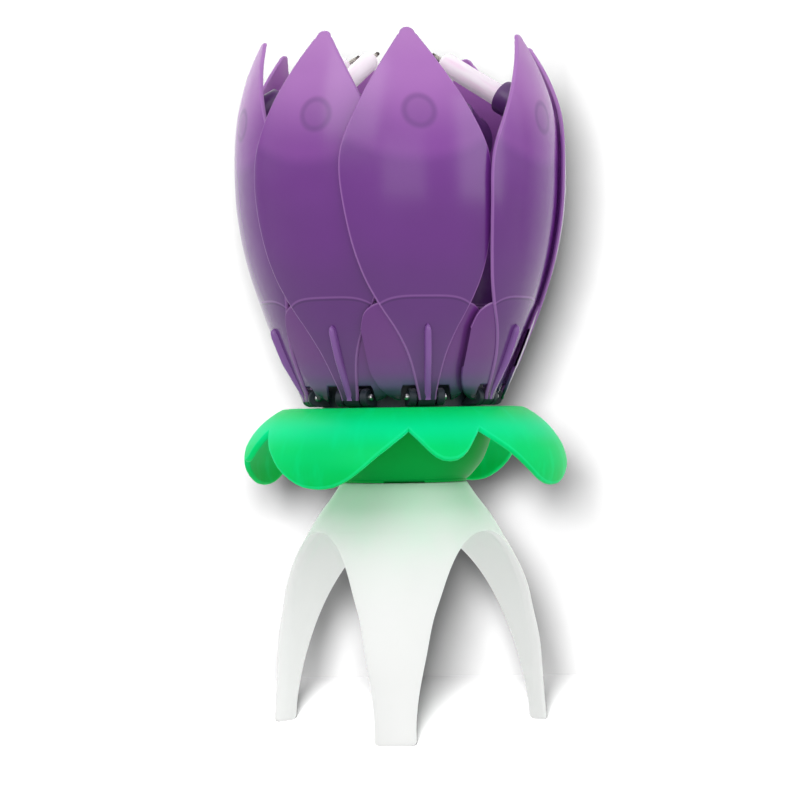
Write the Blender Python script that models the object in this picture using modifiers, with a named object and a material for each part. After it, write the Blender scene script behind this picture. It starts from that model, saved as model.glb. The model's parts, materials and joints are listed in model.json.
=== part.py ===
"""Musical birthday candle: a flower bud of eight hinged petals on a calyx, over a stand with three legs.

Units are metres. +Z is up, the origin is on the floor under the middle of the flower, and -Y is the front.
Run it in Blender: it clears the scene and builds one named object for each piece.
"""
import math

import bmesh
import bpy
from mathutils import Matrix, Vector

# Clearances
GAP = 0.0003
OVERRUN = 0.002
MERGE = 0.00001

# Stand
STAND_HEIGHT = 0.0487
STAND_TOP_RADIUS = 0.0124
STAND_FOOT_RADIUS = 0.0302
STAND_WALL = 0.0016
STAND_PLATE = 0.0014
ARCH_CROWN = 0.0094
ARCH_HALF_WIDTH = 0.0238
FRONT_LEG_DEG = -3.6
LEG_COUNT = 3
BELL_SHARES = ((1.0, 0.0), (0.94, 0.11), (0.88, 0.235), (0.78, 0.402), (0.68, 0.552),
               (0.58, 0.675), (0.49, 0.752), (0.34, 0.87), (0.17, 0.945), (0.0, 1.0))

# Calyx
CALYX_WALL = 0.0012
COLLAR_FLAT_WIDTH = 0.0078
COLLAR_RADIUS = 0.0323
LOBE_DROOP = 0.0148
BOWL_BASE_RADIUS = 0.0120
BOWL_TOP_WIDTH = 0.0027
PLUG_RADIUS = 0.0080
PLUG_WALL = 0.0014
PLUG_DEPTH = 0.0030
COLLAR_SHARES = ((0.0, 0.0), (0.05, 0.16), (0.15, 0.40), (0.26, 0.60), (0.40, 0.78), (0.52, 0.90),
                 (0.75, 1.0), (1.0, 0.95))
BOWL_SHARES = ((1.0, 1.0), (0.68, 0.85), (0.30, 0.56), (0.08, 0.20), (0.0, 0.0))
VALLEY_DEGS = (2, 30, 101, 124, 182, 213, 275, 296)
VALLEY_SHARE = 0.24
SMALL_LOBE_SHARE = 0.64
LOBE_SHARES = ((0.0, 1.0), (0.1, 0.99), (0.22, 0.95), (0.36, 0.84), (0.5, 0.67), (0.65, 0.45),
               (0.8, 0.25), (0.93, 0.09), (1.0, 0.0))
SMALL_LOBE_DEG = 40

# Rotor hub and the petal hinges
HUB_RADIUS = 0.0159
HUB_SINK = 0.0034
HUB_WALL = 0.0010
HUB_FLOOR = 0.0008
HUB_RIM_RISE = 0.0009
POST_RADIUS = 0.0054
POST_HEIGHT = 0.0080
SPINDLE_RADIUS = 0.0016
PETAL_COUNT = 8
FRONT_PETAL_DEG = 14.0
HINGE_WIDTH = 0.0021
HINGE_RISE = 0.0021
PIN_RADIUS = 0.0006
PIN_LENGTH = 0.0084
KNUCKLE_RADIUS = 0.0017
KNUCKLE_LENGTH = 0.0034
LUG_THICKNESS = 0.0015

# Petals
BUD_HEIGHT = 0.0696
BUD_RADIUS = 0.0322
BUD_FOOT_WIDTH = 0.0019
BLADE_HALF_WIDTH = 0.0152
BLADE_THICKNESS = 0.0008
PETAL_STEP = 0.0014
LEAF_THICKNESS = 0.0006
LEAF_INSET = 0.00045
LEAF_HEIGHT = 0.0187
LEAF_FLARE_DEG = 28.5
LEAF_SHARES = ((0.0, 1.0), (0.42, 0.985), (0.68, 0.92), (0.82, 0.74), (0.92, 0.5), (1.0, 0.30))
NOTCH_HALF_WIDTH = 0.0046
NOTCH_HEIGHT = 0.0022
RIB_WIDTH = 0.0014
RIB_HEIGHT = 0.0138
RIB_PROUD = 0.0012
RIB_TOE_PROUD = 0.0002
TAIL_LENGTH = 0.0046
TAIL_WIDTH = 0.0024
TAIL_THICKNESS = 0.0012
FRONT_SWEEP_DEG = -10.5
FRONT_STAND_OFF = 0.0003
SWEEP_POWER_SHARE = 0.75
BLADE_RADIUS_SHARES = ((0.0, 0.0), (0.12, 0.306), (0.24, 0.563), (0.38, 0.819), (0.52, 0.966),
                       (0.655, 1.0), (0.79, 0.953), (0.90, 0.801), (1.0, 0.594))
BLADE_WIDTH_SHARES = ((0.0, 0.118), (0.11, 0.25), (0.18, 0.40), (0.25, 0.60), (0.33, 0.785), (0.43, 0.92),
                      (0.56, 1.0), (0.64, 0.99), (0.70, 0.91), (0.80, 0.665), (0.90, 0.37), (0.965, 0.165),
                      (1.0, 0.04))

# Candles in the petals
CUP_HEIGHT_SHARE = 0.765
CUP_RISE_DEG = 31.0
CUP_RADIUS = 0.0033
CUP_LENGTH = 0.0090
CUP_FLOOR = 0.0022
CANDLE_RADIUS = 0.0019
CANDLE_LENGTH = 0.0220
WICK_RADIUS = 0.0004
WICK_LENGTH = 0.0042
WICK_DEPTH = 0.0020

# Fountain in the middle
FOUNTAIN_RADIUS = 0.0040
FOUNTAIN_LENGTH = 0.0620
FUSE_RADIUS = 0.0005
FUSE_LENGTH = 0.0110
FUSE_DEPTH = 0.0030

# Opening spring and its plate
PLATE_THICKNESS = 0.0009
SPRING_RADIUS = 0.0078
SPRING_WIRE_RADIUS = 0.0002
SPRING_TURNS = 2

# Music box
SOUNDER_RADIUS = 0.0075
SOUNDER_THICKNESS = 0.0004
BOARD_RADIUS = 0.0104
BOARD_THICKNESS = 0.0010
CHIP_RADIUS = 0.0019
CHIP_HEIGHT = 0.0011
CHIP_PLACE = (-0.0072, 0.0034)
CELL_RADIUS = 0.00395
CELL_THICKNESS = 0.0036
CELL_PLACE = (0.0043, -0.0039)
STRIP_LENGTH = 0.0130
STRIP_WIDTH = 0.0022
STRIP_THICKNESS = 0.0003
MOTOR_RADIUS = 0.0030
MOTOR_HEIGHT = 0.0047
COVER_THICKNESS = 0.0008
GEAR_THICKNESS = 0.0010
GEAR_MODULE = 0.0004
GEAR_TEETH = 22
PINION_TEETH = 9
TOOTH_ADDENDUM = 0.00028
TOOTH_DEDENDUM = 0.00052
SHAFT_RADIUS = 0.0005
SCREW_HEAD_RADIUS = 0.0024
SCREW_HEAD_HEIGHT = 0.0008
SCREW_RADIUS = 0.0008
SCREW_DEPTH = 0.0012

# Places that follow from the sizes above
ARCH_HEIGHT = STAND_HEIGHT - ARCH_CROWN
BOWL_FLOOR_Z = STAND_HEIGHT + GAP
SOUNDER_Z = BOWL_FLOOR_Z + CALYX_WALL + GAP
BOARD_Z = SOUNDER_Z + SOUNDER_THICKNESS + GAP
CELL_Z = BOARD_Z + BOARD_THICKNESS + GAP
STRIP_Z = CELL_Z + CELL_THICKNESS + GAP
COVER_Z = CELL_Z + MOTOR_HEIGHT + GAP
GEAR_Z = COVER_Z + COVER_THICKNESS + GAP
HUB_Z = GEAR_Z + GEAR_THICKNESS + GAP
CALYX_TOP = HUB_Z + HUB_SINK
SPINDLE_Z = COVER_Z - GAP
HINGE_Z = CALYX_TOP + HINGE_RISE
PLATE_TOP_Z = HINGE_Z - TAIL_THICKNESS / 2 - GAP
PLATE_Z = PLATE_TOP_Z - PLATE_THICKNESS
FOUNTAIN_Z = HUB_Z + HUB_FLOOR + GAP
FOUNTAIN_TOP_Z = FOUNTAIN_Z + FOUNTAIN_LENGTH
HINGE_RADIUS = HUB_RADIUS + HINGE_WIDTH
BUD_FOOT_RADIUS = HINGE_RADIUS + BUD_FOOT_WIDTH
BOWL_TOP_RADIUS = HUB_RADIUS + BOWL_TOP_WIDTH
COLLAR_FLAT_RADIUS = HUB_RADIUS + COLLAR_FLAT_WIDTH
MOTOR_OFFSET = GEAR_MODULE * (GEAR_TEETH + PINION_TEETH) / 2
PITCH_DEG = 360 / PETAL_COUNT
STEP_PER_DEG = PETAL_STEP / PITCH_DEG
BORE_RADIUS = CANDLE_RADIUS + GAP
PIN_HOLE_RADIUS = PIN_RADIUS + GAP


def outward(azimuth_deg):
    """Return the level unit vector at an azimuth, 0 at the front and positive to the right."""
    angle = math.radians(azimuth_deg)
    return Vector((math.sin(angle), -math.cos(angle), 0.0))


def facing(azimuth_deg):
    """Return the turn that takes a local frame (X sideways, -Y outward) to an azimuth."""
    return Matrix.Rotation(math.radians(azimuth_deg), 4, "Z")


def raised(height):
    """Return a shift straight up, along the local Z axis."""
    return Matrix.Translation((0, 0, height))


def smooth_share(table, share):
    """Read a table of (share, value) pairs with a smooth curve through its points."""
    last = len(table) - 1
    index = next((i for i in range(last) if share <= table[i + 1][0]), last - 1)
    x0, y0 = table[index]
    x1, y1 = table[index + 1]
    before = table[max(index - 1, 0)]
    after = table[min(index + 2, last)]
    slope0 = (y1 - before[1]) / (x1 - before[0])
    slope1 = (after[1] - y0) / (after[0] - x0)
    span = x1 - x0
    t = min(max((share - x0) / span, 0.0), 1.0)
    ease0 = (2 * t**3 - 3 * t**2 + 1) * y0 + (t**3 - 2 * t**2 + t) * span * slope0
    ease1 = (3 * t**2 - 2 * t**3) * y1 + (t**3 - t**2) * span * slope1
    return ease0 + ease1


def make_material(name, colour, roughness, metallic=0.0):
    """Make a plain Principled material."""
    material = bpy.data.materials.new(name)
    material.use_nodes = True
    shader = material.node_tree.nodes["Principled BSDF"]
    shader.inputs["Base Color"].default_value = (*colour, 1.0)
    shader.inputs["Roughness"].default_value = roughness
    shader.inputs["Metallic"].default_value = metallic
    return material


def link(name, mesh, collection, material=None):
    """Make an object from a mesh and put it in a collection."""
    thing = bpy.data.objects.new(name, mesh)
    collection.objects.link(thing)
    if material and not mesh.materials:
        mesh.materials.append(material)
    return thing


def mesh_from(name, build):
    """Fill a new mesh by a function that works on a bmesh."""
    shape = bmesh.new()
    build(shape)
    bmesh.ops.recalc_face_normals(shape, faces=shape.faces)
    mesh = bpy.data.meshes.new(name)
    shape.to_mesh(mesh)
    shape.free()
    mesh.shade_smooth()
    mesh.set_sharp_from_angle(angle=math.radians(35))
    return mesh


def cylinder_mesh(name, radius, depth, sides, matrix):
    """Make a closed cylinder whose base is at the matrix and which runs along its Z axis."""
    def build(shape):
        place = matrix @ raised(depth / 2)
        bmesh.ops.create_cone(shape, cap_ends=True, segments=sides, radius1=radius, radius2=radius,
                              depth=depth, matrix=place)
    return mesh_from(name, build)


def box_mesh(name, size, centre):
    """Make a closed box of a size round a centre."""
    def build(shape):
        place = Matrix.Translation(centre) @ Matrix.Diagonal((*size, 1.0))
        bmesh.ops.create_cube(shape, size=1.0, matrix=place)
    return mesh_from(name, build)


def sheet_mesh(name, rows):
    """Make an open surface from rows of points; rings that close repeat no point."""
    mesh = bpy.data.meshes.new(name)
    columns = len(rows[0])
    points = [point for row in rows for point in row]
    faces = [(r * columns + c, r * columns + c + 1, (r + 1) * columns + c + 1, (r + 1) * columns + c)
             for r in range(len(rows) - 1) for c in range(columns - 1)]
    mesh.from_pydata(points, [], faces)
    mesh.update()
    return mesh


def prism_mesh(name, outline, thickness, matrix):
    """Extrude a flat closed outline by a thickness, centred on its plane, and place it."""
    curve = bpy.data.curves.new(name, "CURVE")
    curve.dimensions = "2D"
    curve.fill_mode = "BOTH"
    curve.extrude = thickness / 2
    spline = curve.splines.new("POLY")
    spline.points.add(len(outline) - 1)
    for point, (x, y) in zip(spline.points, outline):
        point.co = (x, y, 0.0, 1.0)
    spline.use_cyclic_u = True
    guide = bpy.data.objects.new(name, curve)
    bpy.context.scene.collection.objects.link(guide)
    solid = mesh_of(guide)
    bpy.data.objects.remove(guide)
    bpy.data.curves.remove(curve)

    def build(shape):
        shape.from_mesh(solid)
        bmesh.ops.remove_doubles(shape, verts=shape.verts, dist=MERGE)
        bmesh.ops.transform(shape, matrix=matrix, verts=shape.verts)
    return mesh_from(name, build)


def mesh_of(thing):
    """Return a new mesh of an object as it is shown."""
    graph = bpy.context.evaluated_depsgraph_get()
    return bpy.data.meshes.new_from_object(thing.evaluated_get(graph), depsgraph=graph)


def thickened(mesh, thickness):
    """Give an open surface a thickness on its inner side and return the closed mesh."""
    sheet = bpy.data.objects.new(mesh.name, mesh)
    bpy.context.scene.collection.objects.link(sheet)
    solidify = sheet.modifiers.new("wall", "SOLIDIFY")
    solidify.thickness = thickness
    solidify.offset = -1
    solid = mesh_of(sheet)
    bpy.data.objects.remove(sheet)

    def build(shape):
        shape.from_mesh(solid)
    return mesh_from(mesh.name, build)


def turned_mesh(name, profile, sides):
    """Turn a profile of (radius, height) points round Z; it runs down its outer side."""
    line = bpy.data.meshes.new(name)
    line.from_pydata([(r, 0.0, z) for r, z in profile], [(i, i + 1) for i in range(len(profile) - 1)], [])
    guide = bpy.data.objects.new(name, line)
    bpy.context.scene.collection.objects.link(guide)
    screw = guide.modifiers.new("turn", "SCREW")
    screw.steps = sides
    screw.render_steps = sides
    screw.use_merge_vertices = True
    screw.merge_threshold = MERGE
    solid = mesh_of(guide)
    bpy.data.objects.remove(guide)

    def build(shape):
        shape.from_mesh(solid)
    return mesh_from(name, build)


def joined_mesh(name, meshes):
    """Gather meshes into one, as separate bodies."""
    def build(shape):
        for mesh in meshes:
            shape.from_mesh(mesh)
    return mesh_from(name, build)


def cut_or_join(base, tool, operation, cutters):
    """Return a mesh after one exact Boolean step."""
    work = bpy.data.objects.new(base.name, base)
    bpy.context.scene.collection.objects.link(work)
    helper = link(tool.name + "_tool", tool, cutters)
    helper.hide_render = True
    helper.display_type = "WIRE"
    step = work.modifiers.new("step", "BOOLEAN")
    step.operation = operation
    step.solver = "EXACT"
    step.object = helper
    result = mesh_of(work)
    bpy.data.objects.remove(work)
    bpy.data.objects.remove(helper)

    def build(shape):
        shape.from_mesh(result)
        bmesh.ops.remove_doubles(shape, verts=shape.verts, dist=MERGE)
        bmesh.ops.dissolve_degenerate(shape, edges=shape.edges, dist=MERGE)
    return mesh_from(base.name, build)


def bell_radius(share):
    """Return the stand's outer radius at a share of its height."""
    table = tuple(reversed(BELL_SHARES))
    return STAND_TOP_RADIUS + (STAND_FOOT_RADIUS - STAND_TOP_RADIUS) * smooth_share(table, share)


def build_stand(parts, cutters, material):
    """Build the bell with three legs: a turned shell, cut by three arches."""
    shares = [share for share, _ in BELL_SHARES]
    outer = [(bell_radius(s), STAND_HEIGHT * s) for s in shares]
    inner = [(r - STAND_WALL, z) for r, z in reversed(outer) if z < STAND_HEIGHT - STAND_PLATE - GAP]
    socket = PLUG_RADIUS + GAP
    under = STAND_HEIGHT - STAND_PLATE
    profile = [(socket, STAND_HEIGHT), *outer, *inner, (inner[-1][0], under), (socket, under)]
    shell = turned_mesh("stand", profile + [profile[0]], 36)
    count = 10
    rises = [1 - (1 - i / count) ** 2 for i in range(count + 1)]
    side = [(ARCH_HALF_WIDTH * math.sqrt(1 - rise ** 1.6), ARCH_HEIGHT * rise) for rise in rises]
    outline = [(x, y) for x, y in side] + [(-x, y) for x, y in reversed(side[:-1])]
    outline += [(-ARCH_HALF_WIDTH, -OVERRUN), (ARCH_HALF_WIDTH, -OVERRUN)]
    depth = STAND_FOOT_RADIUS + OVERRUN
    for i in range(LEG_COUNT):
        azimuth = FRONT_LEG_DEG + (i + 0.5) * 360 / LEG_COUNT
        upright = Matrix.Rotation(math.radians(90), 4, "X")
        away = Matrix.Translation((0, -depth / 2, 0))
        arch = prism_mesh("arch", outline, depth, facing(azimuth) @ away @ upright)
        shell = cut_or_join(shell, arch, "DIFFERENCE", cutters)
    link("stand", shell, parts, material)


def lobe_share(azimuth_deg):
    """Return how far down the collar reaches at an azimuth, as a share of the full droop."""
    first = VALLEY_DEGS[0]
    turn = (azimuth_deg - first) % 360 + first
    ends = (*VALLEY_DEGS, first + 360)
    index = max(i for i in range(len(VALLEY_DEGS)) if ends[i] <= turn)
    span = ends[index + 1] - ends[index]
    across = abs(2 * (turn - ends[index]) / span - 1)
    reach = SMALL_LOBE_SHARE if span < SMALL_LOBE_DEG else 1.0
    return VALLEY_SHARE + (reach - VALLEY_SHARE) * smooth_share(LOBE_SHARES, across)


def collar_azimuths():
    """Return the azimuths of the collar's columns, with one in each valley."""
    ends = (*VALLEY_DEGS, VALLEY_DEGS[0] + 360)
    azimuths = []
    for start, end in zip(ends, ends[1:]):
        count = 6 if end - start < SMALL_LOBE_DEG else 10
        azimuths += [start + (end - start) * (1 - math.cos(math.pi * i / count)) / 2 for i in range(count)]
    return azimuths + [ends[-1]]


def build_calyx(parts, cutters, material):
    """Build the lobed collar and the bowl under it as one moulding."""
    reach = COLLAR_RADIUS - COLLAR_FLAT_RADIUS
    inner = HUB_RADIUS + GAP
    row_shares = (0.0, 0.07, 0.2, 0.42, 0.7, 1.0)
    rows = [[outward(a) * inner + Vector((0, 0, CALYX_TOP)) for a in collar_azimuths()]]
    for row_share in row_shares:
        row = []
        for azimuth in collar_azimuths():
            drop = lobe_share(azimuth) * row_share
            radius = COLLAR_FLAT_RADIUS + reach * smooth_share(COLLAR_SHARES, drop)
            row.append(outward(azimuth) * radius + Vector((0, 0, CALYX_TOP - LOBE_DROOP * drop)))
        rows.append(row)
    rows.reverse()
    sheet = sheet_mesh("calyx", rows)

    def weld(shape):
        shape.from_mesh(sheet)
        bmesh.ops.remove_doubles(shape, verts=shape.verts, dist=MERGE)
    collar = thickened(mesh_from("calyx", weld), CALYX_WALL)
    rim_z = CALYX_TOP - CALYX_WALL / 2
    height = rim_z - BOWL_FLOOR_Z
    outer = [(BOWL_BASE_RADIUS + (BOWL_TOP_RADIUS - BOWL_BASE_RADIUS) * r, BOWL_FLOOR_Z + height * z)
             for z, r in BOWL_SHARES]
    floor = BOWL_FLOOR_Z + CALYX_WALL
    wall = [(r - CALYX_WALL, z) for r, z in reversed(outer) if z > floor + GAP]
    plug_z = BOWL_FLOOR_Z - PLUG_DEPTH
    plug_inner = PLUG_RADIUS - PLUG_WALL
    base = [(PLUG_RADIUS, BOWL_FLOOR_Z), (PLUG_RADIUS, plug_z), (plug_inner, plug_z),
            (plug_inner, BOWL_FLOOR_Z), (0.0, BOWL_FLOOR_Z)]
    profile = [(0.0, floor), (BOWL_BASE_RADIUS - CALYX_WALL, floor), *wall, *outer, *base]
    bowl = turned_mesh("bowl", profile, 28)
    link("calyx", cut_or_join(collar, bowl, "UNION", cutters), parts, material)


def petal_azimuth(index):
    """Return a petal's azimuth in degrees."""
    return FRONT_PETAL_DEG + index * PITCH_DEG


def lug_outline():
    """Return a lug's side view as (radius, height) about the hinge axis."""
    inner = HUB_RADIUS - HUB_WALL / 2 - HINGE_RADIUS
    bottom = -KNUCKLE_RADIUS
    arc = [(KNUCKLE_RADIUS * math.sin(math.pi * i / 4), -KNUCKLE_RADIUS * math.cos(math.pi * i / 4))
           for i in range(5)]
    return [(inner, bottom), *arc, (inner, CALYX_TOP + HUB_RIM_RISE - HINGE_Z)]


def hinge_plane(azimuth_deg, offset):
    """Return the frame of a flat outline that stands across a hinge axis, moved along it by an offset."""
    upright = Matrix(((0, 0, 1, offset), (-1, 0, 0, -HINGE_RADIUS), (0, 1, 0, HINGE_Z), (0, 0, 0, 1)))
    return facing(azimuth_deg) @ upright


def build_hub(parts, cutters, material):
    """Build the turning cup with its post, its spindle and a pair of lugs for each petal."""
    floor = HUB_Z + HUB_FLOOR
    rim = CALYX_TOP + HUB_RIM_RISE
    inner = HUB_RADIUS - HUB_WALL
    socket = FOUNTAIN_RADIUS + GAP
    post_top = floor + POST_HEIGHT
    profile = [(0.0, floor), (socket, floor), (socket, post_top), (POST_RADIUS, post_top),
               (POST_RADIUS, floor), (inner, floor), (inner, rim), (HUB_RADIUS, rim), (HUB_RADIUS, HUB_Z),
               (SPINDLE_RADIUS, HUB_Z), (SPINDLE_RADIUS, SPINDLE_Z), (SCREW_RADIUS + GAP, SPINDLE_Z),
               (SCREW_RADIUS + GAP, SPINDLE_Z + SCREW_DEPTH + GAP), (0.0, SPINDLE_Z + SCREW_DEPTH + GAP)]
    cup = turned_mesh("hub", profile, 28)
    side = (KNUCKLE_LENGTH + LUG_THICKNESS) / 2 + GAP
    places = [hinge_plane(petal_azimuth(i), sign * side) for i in range(PETAL_COUNT) for sign in (-1, 1)]
    lugs = [prism_mesh("lug", lug_outline(), LUG_THICKNESS, place) for place in places]
    hub = cut_or_join(cup, joined_mesh("lugs", lugs), "UNION", cutters)
    holes = [pin_shape("hole", i, PIN_HOLE_RADIUS, PIN_LENGTH + OVERRUN) for i in range(PETAL_COUNT)]
    link("hub", cut_or_join(hub, joined_mesh("holes", holes), "DIFFERENCE", cutters), parts, material)


def pin_shape(name, index, radius, length):
    """Make a cylinder on a petal's hinge axis."""
    lying = Matrix.Rotation(math.radians(90), 4, "Y") @ raised(-length / 2)
    place = Matrix.Translation((0, -HINGE_RADIUS, HINGE_Z))
    return cylinder_mesh(name, radius, length, 6, facing(petal_azimuth(index)) @ place @ lying)


def build_pins(parts, material):
    """Build a pin for each hinge."""
    for i in range(PETAL_COUNT):
        link(f"hinge_pin_{i + 1}", pin_shape("hinge_pin", i, PIN_RADIUS, PIN_LENGTH), parts, material)


def blade_radius(share):
    """Return the bud's outer radius at a share of the bud's height."""
    return BUD_FOOT_RADIUS + (BUD_RADIUS - BUD_FOOT_RADIUS) * smooth_share(BLADE_RADIUS_SHARES, share)


def sweep_at(sweep_deg, share):
    """Return how far a petal has swept aside at a share of the bud's height, in degrees."""
    return sweep_deg * max(share, 0.0) ** SWEEP_POWER_SHARE


def petal_point(side_deg, share, depth, sweep_deg, stand_off):
    """Return a point of a petal in its local frame, by angle from its middle, height share and depth."""
    swept = side_deg + sweep_at(sweep_deg, share)
    radius = blade_radius(share) - STEP_PER_DEG * side_deg - depth
    lift = stand_off * math.sin(math.pi * min(max(share, 0.0), 1.0))
    point = outward(swept) * (radius + lift)
    return Vector((point.x, point.y, HINGE_Z + BUD_HEIGHT * share))


def blade_sheet(sweep_deg, stand_off, depth):
    """Return the open surface of a pointed blade at a depth under its outer face."""
    row_count = 14
    columns = 6
    rows = []
    for r in range(row_count + 1):
        share = r / row_count
        half_width = BLADE_HALF_WIDTH * smooth_share(BLADE_WIDTH_SHARES, share)
        half_deg = math.degrees(half_width / blade_radius(share))
        sides = [half_deg * (2 * c / columns - 1) for c in range(columns + 1)]
        rows.append([petal_point(side, share, depth, sweep_deg, stand_off) for side in sides])
    return sheet_mesh("blade", rows)


def leaf_sheet(sweep_deg, stand_off):
    """Return the open surface of the short wide leaf behind the blade's foot."""
    notch_deg = math.degrees(NOTCH_HALF_WIDTH / HINGE_RADIUS)
    half = [1.0, 0.94, 0.84, 0.72, 0.6, notch_deg / LEAF_FLARE_DEG, 0.25]
    shares = [-s for s in half] + [0.0] + list(reversed(half))
    top = LEAF_HEIGHT / BUD_HEIGHT
    shoulder = top * smooth_share(LEAF_SHARES, 1.0)
    notch = NOTCH_HEIGHT / BUD_HEIGHT
    rows = []
    for r in range(4):
        row = []
        for s in shares:
            high = top * smooth_share(LEAF_SHARES, abs(s))
            low = shoulder * (1 - math.sqrt(1 - abs(s) ** 4))
            if abs(s) * LEAF_FLARE_DEG <= notch_deg:
                low = notch
            share = low + (high - low) * max(r / 3, 0.05 if abs(s) == 1.0 else 0.0)
            row.append(petal_point(s * LEAF_FLARE_DEG, share, LEAF_INSET, sweep_deg, stand_off))
        rows.append(row)
    return sheet_mesh("leaf", rows)


def rib_mesh(sweep_deg):
    """Build the rib up a petal's middle, bent aside as the blade is."""
    rib = prism_mesh("rib", rib_outline(), RIB_WIDTH, hinge_plane(0, 0))
    for vertex in rib.vertices:
        swept = sweep_at(sweep_deg, (vertex.co.z - HINGE_Z) / BUD_HEIGHT)
        vertex.co = facing(swept) @ vertex.co
    return rib


def rib_outline():
    """Return the rib's side view as (radius, height) about the hinge axis."""
    count = 6
    sunk = BLADE_THICKNESS / 2
    low = KNUCKLE_RADIUS / 2
    heights = [low + (RIB_HEIGHT - low) * i / count for i in range(count + 1)]
    inner = [(blade_radius(z / BUD_HEIGHT) - HINGE_RADIUS - sunk, z) for z in heights]
    outer = []
    for i, z in enumerate(heights):
        proud = RIB_TOE_PROUD + (RIB_PROUD - RIB_TOE_PROUD) * min(2 * i / count, 1.0)
        outer.append((blade_radius(z / BUD_HEIGHT) - HINGE_RADIUS + (proud if i < count else 0.0), z))
    return inner + list(reversed(outer))


def petal_mesh(name, sweep_deg, stand_off, cutters):
    """Build one petal moulding in its local frame: blade, leaf, rib, knuckle, tail and candle cup."""
    blade = thickened(blade_sheet(sweep_deg, stand_off, 0.0), BLADE_THICKNESS)
    leaf = thickened(leaf_sheet(sweep_deg, stand_off), LEAF_THICKNESS)
    rib = rib_mesh(sweep_deg)
    lying = Matrix.Rotation(math.radians(90), 4, "Y")
    hinge = Matrix.Translation((0, -HINGE_RADIUS, HINGE_Z)) @ lying
    knuckle = cylinder_mesh("knuckle", KNUCKLE_RADIUS, KNUCKLE_LENGTH, 12,
                            hinge @ raised(-KNUCKLE_LENGTH / 2))
    tail = box_mesh("tail", (TAIL_WIDTH, TAIL_LENGTH, TAIL_THICKNESS),
                    (0, -HINGE_RADIUS + TAIL_LENGTH / 2, HINGE_Z))
    bore_length = KNUCKLE_LENGTH + OVERRUN
    bore = cylinder_mesh("bore", PIN_HOLE_RADIUS, bore_length, 6,
                         hinge @ raised(-bore_length / 2))
    cup_frame = cup_place(sweep_deg, stand_off)
    back = raised(-CUP_LENGTH)
    cup = cylinder_mesh("cup", CUP_RADIUS, 2 * CUP_LENGTH, 12, cup_frame @ back)
    beyond = 2 * CUP_LENGTH
    outside = thickened(blade_sheet(sweep_deg, stand_off, BLADE_THICKNESS / 2 - beyond), beyond)
    cup = cut_or_join(cup, outside, "DIFFERENCE", cutters)
    socket = cylinder_mesh("socket", BORE_RADIUS, CUP_LENGTH, 12, cup_frame @ raised(CUP_FLOOR))
    petal = blade
    for piece in (leaf, rib, knuckle, tail, cup):
        petal = cut_or_join(petal, piece, "UNION", cutters)
    for tool in (bore, socket):
        petal = cut_or_join(petal, tool, "DIFFERENCE", cutters)
    petal.name = name
    petal.transform(Matrix.Translation((0, HINGE_RADIUS, -HINGE_Z)))
    return petal


def cup_place(sweep_deg, stand_off):
    """Return the cup's frame in a petal's local frame: its Z axis runs inward and up."""
    point = petal_point(0.0, CUP_HEIGHT_SHARE, BLADE_THICKNESS, sweep_deg, stand_off)
    turn = facing(sweep_at(sweep_deg, CUP_HEIGHT_SHARE))
    tilt = Matrix.Rotation(math.radians(CUP_RISE_DEG - 90), 4, "X")
    return Matrix.Translation(point) @ turn @ tilt


def build_petals(parts, cutters, petal_material, candle_material, wick_material):
    """Build the petals with their candles and wicks, each petal with its origin on its hinge axis."""
    plain = petal_mesh("petal", 0.0, 0.0, cutters)
    front = petal_mesh("front_petal", FRONT_SWEEP_DEG, FRONT_STAND_OFF, cutters)
    for i in range(PETAL_COUNT):
        sweep = FRONT_SWEEP_DEG if i == 0 else 0.0
        stand_off = FRONT_STAND_OFF if i == 0 else 0.0
        petal = link(f"petal_{i + 1}", front if i == 0 else plain, parts, petal_material)
        petal.location = outward(petal_azimuth(i)) * HINGE_RADIUS + Vector((0, 0, HINGE_Z))
        petal.rotation_euler.z = math.radians(petal_azimuth(i))
        frame = facing(petal_azimuth(i)) @ cup_place(sweep, stand_off)
        seat = frame @ raised(CUP_FLOOR + GAP)
        top = seat @ raised(CANDLE_LENGTH)
        candle = cylinder_mesh("candle", CANDLE_RADIUS, CANDLE_LENGTH, 12, seat)
        hole = cylinder_mesh("wick_hole", WICK_RADIUS + GAP, WICK_DEPTH + OVERRUN, 6,
                             top @ raised(-WICK_DEPTH))
        link(f"candle_{i + 1}", cut_or_join(candle, hole, "DIFFERENCE", cutters), parts, candle_material)
        wick = cylinder_mesh("wick", WICK_RADIUS, WICK_LENGTH, 6,
                             top @ raised(GAP - WICK_DEPTH))
        link(f"wick_{i + 1}", wick, parts, wick_material)


def build_fountain(parts, cutters, tube_material, fuse_material):
    """Build the spark fountain that stands in the hub's post, and its fuse."""
    tube = cylinder_mesh("fountain", FOUNTAIN_RADIUS, FOUNTAIN_LENGTH, 20, raised(FOUNTAIN_Z))
    hole = cylinder_mesh("fuse_hole", FUSE_RADIUS + GAP, FUSE_DEPTH + OVERRUN, 8,
                         raised(FOUNTAIN_TOP_Z - FUSE_DEPTH))
    link("fountain", cut_or_join(tube, hole, "DIFFERENCE", cutters), parts, tube_material)
    fuse = cylinder_mesh("fuse", FUSE_RADIUS, FUSE_LENGTH, 8,
                         raised(FOUNTAIN_TOP_Z - FUSE_DEPTH + GAP))
    link("fuse", fuse, parts, fuse_material)


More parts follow.
